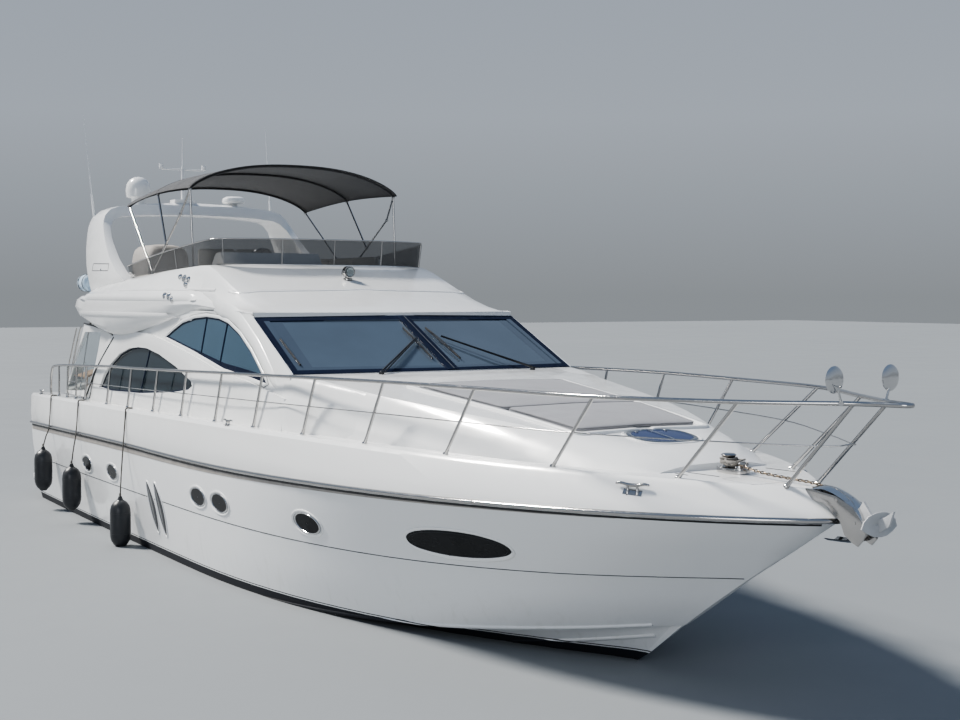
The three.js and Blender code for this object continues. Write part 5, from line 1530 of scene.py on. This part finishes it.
settee("saloon_settee", 1.9, -4.70, -1.20, 1.7503, 0.43, 0.88)
settee("fly_settee", 1.68, -6.30, -2.60, 3.9003, 0.39, 0.79)
helm_seat("saloon_helm_seat", -0.25, 0.25, -1.35, -0.65, 1.7503, 2.35, 2.95)
helm_seat("fly_helm_seat", -3.60, -3.0, -1.25, 0.05, 3.9003, 4.35, 4.82)
cockpit_bench()

# Twin seat under a loose drawn cover: middle, half size, foot and top; then how far round and how high
COVER_MIDDLE, COVER_HALF = (-5.65, -1.175), (0.53, 0.405)
COVER_FOOT, COVER_TOP = 3.93, 4.935
COVER_LEVELS = [(0.0, 0.0), (0.04, 0.03), (0.3, 0.2), (0.6, 0.42), (0.85, 0.60), (1.0, 0.72), (1.12, 0.82),
                (1.25, 0.90), (1.42, 0.955), (1.62, 0.985), (1.82, 1.0)]


def covered_seat():
    count = 96

    def about(row, share, down=0.0):
        """The row moved out from or in to the middle."""
        flat = shrunk([(p.x, p.y) for p in row], COVER_MIDDLE, share)
        return [Vector((x, y, p.z - down)) for (x, y), p in zip(flat, row)]

    rows = []
    for f, climb in COVER_LEVELS:
        power = 0.28 if f <= 1 else 0.28 + 0.5 * (f - 1)
        shrink = 1 - 0.04 * f if f <= 1 else 0.96 * math.cos((f - 1) * 1.72) ** 0.75
        row = []
        for t, c, s in circle(count):
            fold = 1 + 0.016 * math.sin(13 * t + 2 * f) * max(0, 1 - f * 0.8)
            fold += 0.006 * math.sin(29 * t) * (f < 1)
            x, y = (m + half * shrink * fold * math.copysign(abs(k) ** power, k)
                    for m, half, k in zip(COVER_MIDDLE, COVER_HALF, (c, s)))
            sag = 0.012 * math.sin(5 * t + 4 * f) * (f > 1) * (2 - f)
            row.append(Vector((x, y, COVER_FOOT + (COVER_TOP - COVER_FOOT) * climb + sag)))
        rows.append(row)
    inner = [about(row, 0.994, 0.003 if k else 0.0) for k, row in enumerate(rows)]
    cover = walled(grid(rows, closed_columns=True), grid(inner, closed_columns=True), list(range(count)))
    top, under = (len(rows) - 1) * count, (2 * len(rows) - 1) * count
    cover[1].append(tuple(range(top, top + count)))
    cover[1].append(tuple(reversed(range(under, under + count))))
    made = piece("seat_cover", cover, "cover", 70, replaces="fly_covered_seat")
    piece("seat_cover_drawcord", tube(about(rows[3], 1.006), 0.006, 8, closed=True), "piping")


covered_seat()

# Rolled blue cover lashed to the coaming
ROLL_MIDDLE, ROLL_HALF = Vector((-7.60, -1.90, 4.262)), 0.25


def stowage_roll():
    rows = []
    for k in range(25):
        f = k / 24
        a = ROLL_HALF * (2 * f - 1)
        end = min(f, 1 - f)
        radius = 0.158 * min(1, (end / 0.09) ** 0.45 if end > 0 else 0.12)
        row = []
        for t, c, s in circle(40):
            fold = 1 + 0.012 * math.sin(7 * t + 3 * a / ROLL_HALF) + 0.02 * math.sin(11 * t) * (end < 0.12)
            row.append(ROLL_MIDDLE + Vector((a, radius * fold * c, radius * fold * s)))
        rows.append(row)
    made = piece("stowage_roll_cover", grid(rows, closed_columns=True, caps=True), "blue_canvas", 70,
                 replaces="stowage_roll")
    straps = []
    for a in (-0.13, 0.13):
        out = [Vector((0, c, s)) for _, c, s in circle(48)]
        loop = [ROLL_MIDDLE + AHEAD * a + way * 0.163 for way in out]
        straps.append(swept(loop, flat_band(0.03, 0.003, 0.001), out, closed=True))
    piece("stowage_roll_straps", merged(*straps), "black")


stowage_roll()

# Fenders hung over the starboard side: x, height of the middle, distance clear of the knuckle
FENDERS = {"forward": (-3.35, 0.37, 0.006), "middle": (-6.13, 0.62, 0.034), "aft": (-8.04, 0.75, 0.062)}
FENDER_PROFILE = [
    (0, -0.40), (0.045, -0.398), (0.07, -0.385), (0.075, -0.37), (0.11, -0.34), (0.145, -0.285),
    (0.161, -0.22), (0.165, -0.16), (0.165, 0.16), (0.161, 0.22), (0.145, 0.285), (0.11, 0.335),
    (0.075, 0.362), (0.05, 0.375), (0.042, 0.39), (0.042, 0.40), (0.03, 0.405), (0, 0.405),
]
FENDER_NECK = [(0, 0.395), (0.03, 0.395), (0.034, 0.41), (0.03, 0.43), (0.012, 0.44), (0, 0.44)]
KNOT = [(0, -0.03), (0.016, -0.028), (0.02, 0), (0.016, 0.03), (0, 0.032)]
STRANDS, TURNS_PER_METRE = 3, 18


def run_lengths(run):
    """Distance gone at each point of a run."""
    made = [0.0]
    for a, b in zip(run, run[1:]):
        made.append(made[-1] + (b - a).length)
    return made


def laid_rope(knots, radius):
    """Three strands twisted round a path."""
    run = curve(knots, max(12, int(run_lengths(knots)[-1] * 120)))
    side = ways(run)[0].orthogonal()
    frames = []
    for way in ways(run):
        side = (side - way * side.dot(way)).normalized()
        frames.append((side, way.cross(side)))
    parts = []
    for strand in range(STRANDS):
        line = []
        for p, gone, (a, b) in zip(run, run_lengths(run), frames):
            angle = 2 * math.pi * (strand / STRANDS + gone * TURNS_PER_METRE)
            line.append(p + (a * math.cos(angle) + b * math.sin(angle)) * radius * 0.5)
        parts.append(tube(line, radius * 0.54, 6))
    return merged(*parts)


def fender(label, x, z, clear):
    y = -(half_breadth(KNUCKLE, x) + 0.165 + clear)
    strake_y, strake_z = -(half_breadth(RUB, x) + 0.054), along(RUB[4], x)
    edge_y, deck_z = -(half_breadth(GUNWALE, x) + 0.012), along(GUNWALE[4], x) + 0.0095
    middle = Vector((x, y, z))
    body = merged(turned(FENDER_PROFILE, middle, sides=40), turned(FENDER_NECK, middle, sides=20))
    line = laid_rope([Vector((x, *p)) for p in (
        (y, z + 0.43), ((y + strake_y) / 2 - 0.004, (z + 0.43 + strake_z) / 2), (strake_y, strake_z),
        (edge_y - 0.002, deck_z - 0.09), (edge_y + 0.004, deck_z - 0.02), (edge_y + 0.03, deck_z + 0.004),
        (edge_y + 0.115, deck_z + 0.002))], 0.013)
    knot = turned(KNOT, (x, y, z + 0.455), sides=14)
    seams = []
    for h in (-0.165, 0.165):
        hoop = [middle + Vector((0.166 * c, 0.166 * s, h)) for _, c, s in circle(48)]
        seams.append(tube(hoop, 0.0025, 6, closed=True))
    piece(f"fender_body_{label}", body, "fender", 50, replaces=f"fender_{label}")
    piece(f"fender_lanyard_{label}", merged(line, knot), "rope", 70)
    piece(f"fender_seams_{label}", merged(*seams), "fender")


for label, row in FENDERS.items():
    fender(label, *row)

# Foredeck hatch: x of its middle, half sizes, tilt and fullness of its outline
HATCH_X, HATCH_HALF, HATCH_TILT, HATCH_POWER = 7.18, (0.31, 0.40), 0.134, 2.6
HATCH_LID = "deck_hatch_lid"
HATCH_RIM = [(-0.026, -0.03), (0.026, -0.03), (0.026, -0.004), (0.016, 0.004), (-0.014, 0.005),
             (-0.026, -0.002)]
HATCH_PANE = [(0.01, 0.005), (0.35, 0.0045), (0.7, 0.003), (0.88, 0.001), (0.885, -0.004), (0.885, -0.016),
              (0.7, -0.016), (0.01, -0.016)]
HATCH_LOCK = [(0, 0), (0.022, 0), (0.022, 0.008), (0.017, 0.013), (0, 0.014)]
TRUNK_LINE = [(3.8, 2.905), (5, 2.79), (6, 2.69), (7, 2.56), (7.5, 2.49), (7.85, 2.42)]
HATCH_AHEAD = Vector((math.cos(HATCH_TILT), 0, -math.sin(HATCH_TILT)))
HATCH_SQUARE = Vector((math.sin(HATCH_TILT), 0, math.cos(HATCH_TILT)))


def hatch_point(a, b, lift):
    """Place on the hatch: a forward and b to port from its middle, lift square to its plate."""
    base = Vector((HATCH_X, b, along(TRUNK_LINE, HATCH_X)))
    return base + HATCH_AHEAD * a + HATCH_SQUARE * lift


def hatch_oval(share):
    return superellipse(0, 0, HATCH_HALF[0] * share, HATCH_HALF[1] * share, 72, HATCH_POWER)


def foredeck_hatch():
    rim = swept([hatch_point(a, b, 0.004) for a, b in hatch_oval(0.93)], HATCH_RIM, [HATCH_SQUARE] * 72, True)
    piece("hatch_rim", rim, "steel", 50, HATCH_LID, "foredeck_hatch")
    pane = [[hatch_point(a, b, lift) for a, b in hatch_oval(share)] for share, lift in HATCH_PANE]
    piece("hatch_light", grid(pane, closed_columns=True, caps=True), "hatch_glass", 50, HATCH_LID)
    bar = [hatch_point(a, 0, 0.009) for a in (-0.255, 0, 0.255)]
    piece("hatch_stiffener", swept(bar, flat_band(0.022, 0.006, 0.004), [HATCH_SQUARE] * 3), "chrome", 50,
          HATCH_LID)
    around = [hatch_point(a, b, 0) for a, b in (
        [c * (1 + 0.03 / math.hypot(*p)) for c in p] for p in hatch_oval(1))]
    around, _ = rested([DECK.down(p.x, p.y) for p in around])
    piece("hatch_frame", swept(around, flat_band(0.03, 0.010, 0.003), [HATCH_SQUARE] * 72, True), "white")
    locks = [turned(HATCH_LOCK, hatch_point(-0.2, b, 0.003), HATCH_SQUARE, 20) for b in (-0.2, 0.2)]
    piece("hatch_locks", merged(*locks), "steel", body=HATCH_LID)


foredeck_hatch()


# Anchor gear on the foredeck and at the bow
def chain_link(centre, way, side, length=0.056, width=0.038, wire=0.0068):
    """One long link lying along way, flat in the way-side plane."""
    half, end = (length - width) / 2, width / 2 - wire
    path = []
    for start, shift in ((-math.pi / 2, half), (math.pi / 2, -half)):
        for k in range(9):
            angle = start + math.pi * k / 8
            path.append(centre + way * (shift + end * math.cos(angle)) + side * end * math.sin(angle))
    return tube(path, wire, 6, closed=True)


def chain(points, pitch=0.042):
    run = curve(points, 400)
    lengths = run_lengths(run)
    parts = []
    i = 0
    for k in range(int(lengths[-1] / pitch)):
        at = (k + 0.5) * pitch
        while lengths[i + 1] < at:
            i += 1
        a, b = run[i], run[i + 1]
        way = (b - a).normalized()
        flat = way.cross(UP)
        flat = flat.normalized() if flat.length > 0.1 else ABEAM
        turn = math.radians(45 if k % 2 else -45)
        side = flat * math.cos(turn) + flat.cross(way) * math.sin(turn)
        parts.append(chain_link(a.lerp(b, (at - lengths[i]) / (lengths[i + 1] - lengths[i])), way, side))
    return merged(*parts)


DECK_EDGE_Z = along(GUNWALE[4], 8.3)
# Chain from the windlass to the roller: x, y, height above the deck edge
CHAIN_LINE = [(8.35, -0.052, 0.115), (8.52, -0.045, 0.085), (8.80, -0.02, 0.045), (9.12, 0, 0.028),
              (9.45, 0, 0.02), (9.72, 0, -0.012), (10.0, 0, -0.085)]
WARP_RADIUS = 0.011


def anchor_gear():
    piece("anchor_chain", chain([(x, y, DECK_EDGE_Z + up) for x, y, up in CHAIN_LINE]), "chain")
    turns = []
    for k in range(3):
        z, reach = DECK_EDGE_Z + 0.10 + 0.021 * k, 0.072 + 0.006 * k
        loop = [(8.26 + reach * c, reach * s, z + 0.006 * math.sin(3 * t)) for t, c, s in circle(40)]
        turns.append(tube(loop, WARP_RADIUS, 8, closed=True))
    piece("anchor_warp_turns", merged(*turns), "warp")
    random.seed(8)
    coils = []
    for k in range(6):
        cx, cy = 8.36 + random.uniform(-0.05, 0.05), random.uniform(-0.05, 0.05)
        reach = random.uniform(0.10, 0.16)
        squash = random.uniform(0.55, 0.9)
        turn = random.uniform(0, 3.14)
        loop = []
        for t, c, s in circle(36):
            a, b = reach * c, reach * squash * s
            x = cx + a * math.cos(turn) - b * math.sin(turn)
            y = cy + a * math.sin(turn) + b * math.cos(turn)
            loop.append((x, y, DECK_EDGE_Z + 0.070 + 0.012 * k + 0.01 * math.sin(2 * t + k)))
        coils.append(tube(loop, WARP_RADIUS, 8, closed=True))
    piece("anchor_warp_pile", merged(*coils), "warp")


anchor_gear()

# Bow roller: cheek outline, floor and hood as (x, z); turned profiles of its wheel and pins
ROLLER_CHEEK = [(9.15, 2.235), (9.55, 2.235), (9.85, 2.205), (10.06, 2.125), (10.17, 2.01), (10.222, 1.91),
                (10.195, 1.84), (10.13, 1.775), (10.06, 1.80), (9.96, 1.86), (9.91, 1.975), (9.70, 2.125),
                (9.15, 2.155)]
ROLLER_FLOOR = [(9.16, 2.172), (9.55, 2.170), (9.80, 2.130), (9.93, 2.05), (9.985, 1.93), (10.03, 1.86),
                (10.10, 1.815)]
ROLLER_HOOD = [(9.42, 2.235), (9.67, 2.278), (9.90, 2.225), (10.06, 2.130), (10.145, 1.985), (10.135, 1.880),
               (10.06, 1.805), (9.95, 1.782), (9.82, 1.773), (9.70, 1.768)]
ROLLER_WHEEL = [(0, -0.078), (0.055, -0.078), (0.058, -0.07), (0.03, -0.02), (0.026, 0), (0.03, 0.02),
                (0.058, 0.07), (0.055, 0.078), (0, 0.078)]
ROLLER_PIN = [(0, -0.1), (0.014, -0.1), (0.014, 0.1), (0, 0.1)]
ROLLER_AXLE, KEEPER_AXLE = (10.09, 0, 1.985), (9.86, 0, 2.17)


def upright_plate(outline, y0, y1):
    """Plate from y0 to y1 over an outline of (x, z)."""
    return grid([[Vector((x, y, z)) for x, z in outline] for y in (y0, y1)], closed_columns=True, caps=True)


def bow_roller():
    run = curve([(x, 0, z) for x, z in ROLLER_FLOOR], 24)
    tray = swept(run, [(-0.086, -0.004), (0.086, -0.004), (0.086, 0.004), (-0.086, 0.004)])
    cheeks = [upright_plate(ROLLER_CHEEK, *ys) for ys in ((-0.094, -0.084), (0.084, 0.094))]
    piece("bow_roller_plates", merged(*cheeks, tray), "steel", replaces="bow_roller", bevel=0.0015)
    piece("bow_roller_wheel", turned(ROLLER_WHEEL, ROLLER_AXLE, ABEAM, 28), "fender")
    pins = [turned(ROLLER_PIN, at, ABEAM, 16) for at in (ROLLER_AXLE, KEEPER_AXLE)]
    piece("bow_roller_pins", merged(*pins), "steel")
    line = curve([(x, 0, z) for x, z in ROLLER_HOOD], 60)
    rows = []
    for i, (p, way) in enumerate(zip(line, ways(line))):
        out = Vector((-way.z, 0, way.x)) * 0.030
        half = ABEAM * 0.090 * min(1, 0.72 + i / 30)
        rows.append([p + half * f - out * f * f for f in (k / 8 - 1 for k in range(17))])
    inner = [[p - UP * 0.0035 for p in row] for row in rows]
    piece("bow_roller_hood", merged(grid(rows), grid(inner)), "chrome", 60)


bow_roller()

# Anchor: shank as (x, z), fluke plate as (y, z) and its middle
SHANK = [(10.055, 2.10), (10.11, 2.18), (10.25, 2.02), (10.38, 2.075), (10.475, 2.135), (10.42, 1.99),
         (10.27, 1.90), (10.235, 1.905)]
FLUKE = [(-0.225, 1.965), (-0.20, 2.03), (-0.145, 2.078), (-0.07, 2.103), (0, 2.11), (0.07, 2.103),
         (0.145, 2.078), (0.20, 2.03), (0.225, 1.965), (0.16, 1.925), (0.08, 1.89), (0, 1.882), (-0.08, 1.89),
         (-0.16, 1.925)]
FLUKE_MIDDLE = (0, 2.0)
# Rows of the fluke's two faces: x, dish, shares of the outline
FLUKE_FACES = [(10.318, 0.0088, (1.0, 0.75, 0.5, 0.25, 0.02)), (10.306, 0.02, (0.02, 0.5, 1.0))]


def anchor():
    rows = []
    for x, dish, shares in FLUKE_FACES:
        for share in shares:
            depth = x - dish * (1 - share * share)
            rows.append([Vector((depth - 0.018 * (y / 0.225) ** 2, y1, z1))
                         for (y, _), (y1, z1) in zip(FLUKE, shrunk(FLUKE, FLUKE_MIDDLE, share))])
    fluke = grid(rows, closed_columns=True, closed_rows=True)
    body = merged(upright_plate(SHANK, -0.013, 0.013), fluke)
    piece("anchor_body", body, "galvanised", 35, replaces="anchor", bevel=0.002)
    shackle = chain_link(Vector((10.02, 0, 2.075)), Vector((0.8, 0, -0.6)), ABEAM, 0.09, 0.05, 0.008)
    piece("anchor_shackle", shackle, "steel")


anchor()

# Top of a cleat's horns: share of its length, height
HORNS = [(-0.5, 0.062), (-0.34, 0.068), (-0.15, 0.058), (0, 0.056), (0.15, 0.058), (0.34, 0.068),
         (0.5, 0.062)]
CLEAT_PLATE = (-0.27, -0.09, 0.09, 0.27)


def horn_cleat(name, x, y, turn, size=0.30, tall=1.0):
    """Horn cleat with two feet, turned about the upright by turn degrees."""
    base, _ = DECK.down(x, y)
    ahead = Vector((math.cos(math.radians(turn)), math.sin(math.radians(turn)), 0))
    beside = Vector((-ahead.y, ahead.x, 0))
    rows = []
    for i, p in enumerate(curve([base + ahead * (size * f) + UP * (h * tall) for f, h in HORNS], 28)):
        radius = 0.014 * tall * (1 - 0.5 * abs(2 * i / 27 - 1) ** 3) * (0.15 if i in (0, 27) else 1)
        rows.append([p + beside * radius * 1.15 * c + UP * (radius * s) for _, c, s in circle(14)])
    foot = [(0, -0.03), (0.021, -0.03), (0.021, 0.006), (0.016, 0.014), (0.013, 0.035 * tall),
            (0.016, 0.056 * tall), (0, 0.058 * tall)]
    feet = [turned(foot, base + ahead * size * f, sides=18) for f in (-0.14, 0.14)]
    plate = rested([DECK.down(x + ahead.x * size * f, y + ahead.y * size * f) for f in CLEAT_PLATE])
    parts = (grid(rows, closed_columns=True, caps=True), *feet, banded(plate, flat_band(0.062, 0.005)))
    piece(name, merged(*parts), "steel", 45)


for name, side in SIDES.items():
    horn_cleat(f"bow_cleat_{name}", 8.13, side * 1.125, -26 * side, 0.38, 1.3)
    horn_cleat(f"midship_cleat_{name}", 0.9, side * (half_breadth(GUNWALE, 0.9) - 0.05), -2 * side)
    horn_cleat(f"quarter_cleat_{name}", -9.05, side * (half_breadth(GUNWALE, -9.05) - 0.06), 0)

# Seam of the chain locker's lid, drain slots in the foredeck drawn as dark strips of painted shade: ends as
# (x, y)
LOCKER_LID = ((8.62, -0.42), (9.1, 0.42))
DECK_SLOTS = [((8.115, -0.409), (8.50, -0.336)), ((8.10, -0.560), (8.28, -0.553)),
              ((8.225, 0.54), (8.57, 0.618))]
lid = rested([DECK.down(x, y) for x, y in refined(rounded_outline(*LOCKER_LID, 0.06, 6), 0.04)])
piece("chain_locker_lid_seam", banded(lid, flat_band(0.008, 0.0015, 0.001), True), "shade")
slots = []
for (x0, y0), (x1, y1) in DECK_SLOTS:
    run = [DECK.down(x0 + (x1 - x0) * k / 8, y0 + (y1 - y0) * k / 8)[0] for k in range(9)]
    slots.append(swept(run, flat_band(0.022, 0.003, 0.001), [UP] * 9))
# The slots are flat dark strips: painted shade of openings that are not cut
piece("foredeck_slots", merged(*slots), "recess")

# Searchlight on the roof
LAMP_FOOT = [(0, -0.01), (0.075, -0.008), (0.075, 0.012), (0.05, 0.025), (0.032, 0.05), (0.03, 0.085),
             (0, 0.09)]
LAMP_SHELL = [(0, -0.095), (0.04, -0.092), (0.07, -0.07), (0.085, -0.03), (0.085, 0.05), (0.091, 0.055),
              (0.091, 0.068), (0.08, 0.07), (0.078, 0.062), (0, 0.058)]
LAMP_LENS = [(0, 0.058), (0.078, 0.058), (0.07, 0.066), (0.03, 0.071), (0, 0.072)]
LAMP_X, LAMP_Z, LAMP_WAY = -0.48, 4.40, (1, 0, -0.05)


def searchlight():
    base, _ = FLY.down(LAMP_X, 0)
    parts = [turned(LAMP_FOOT, base, sides=28), turned(LAMP_SHELL, (LAMP_X, 0, LAMP_Z), LAMP_WAY, 32)]
    for side in SIDES.values():
        arm = curve([(LAMP_X, side * 0.03, base.z + 0.06), (LAMP_X, side * 0.09, base.z + 0.075),
                     (LAMP_X, side * 0.1, 4.37), (LAMP_X, side * 0.095, 4.41)], 12)
        parts.append(tube(arm, 0.009, 8))
    piece("searchlight_body", merged(*parts), "steel", replaces="searchlight")
    piece("searchlight_lens", turned(LAMP_LENS, (LAMP_X, 0, LAMP_Z), LAMP_WAY, 28), "clear")


searchlight()
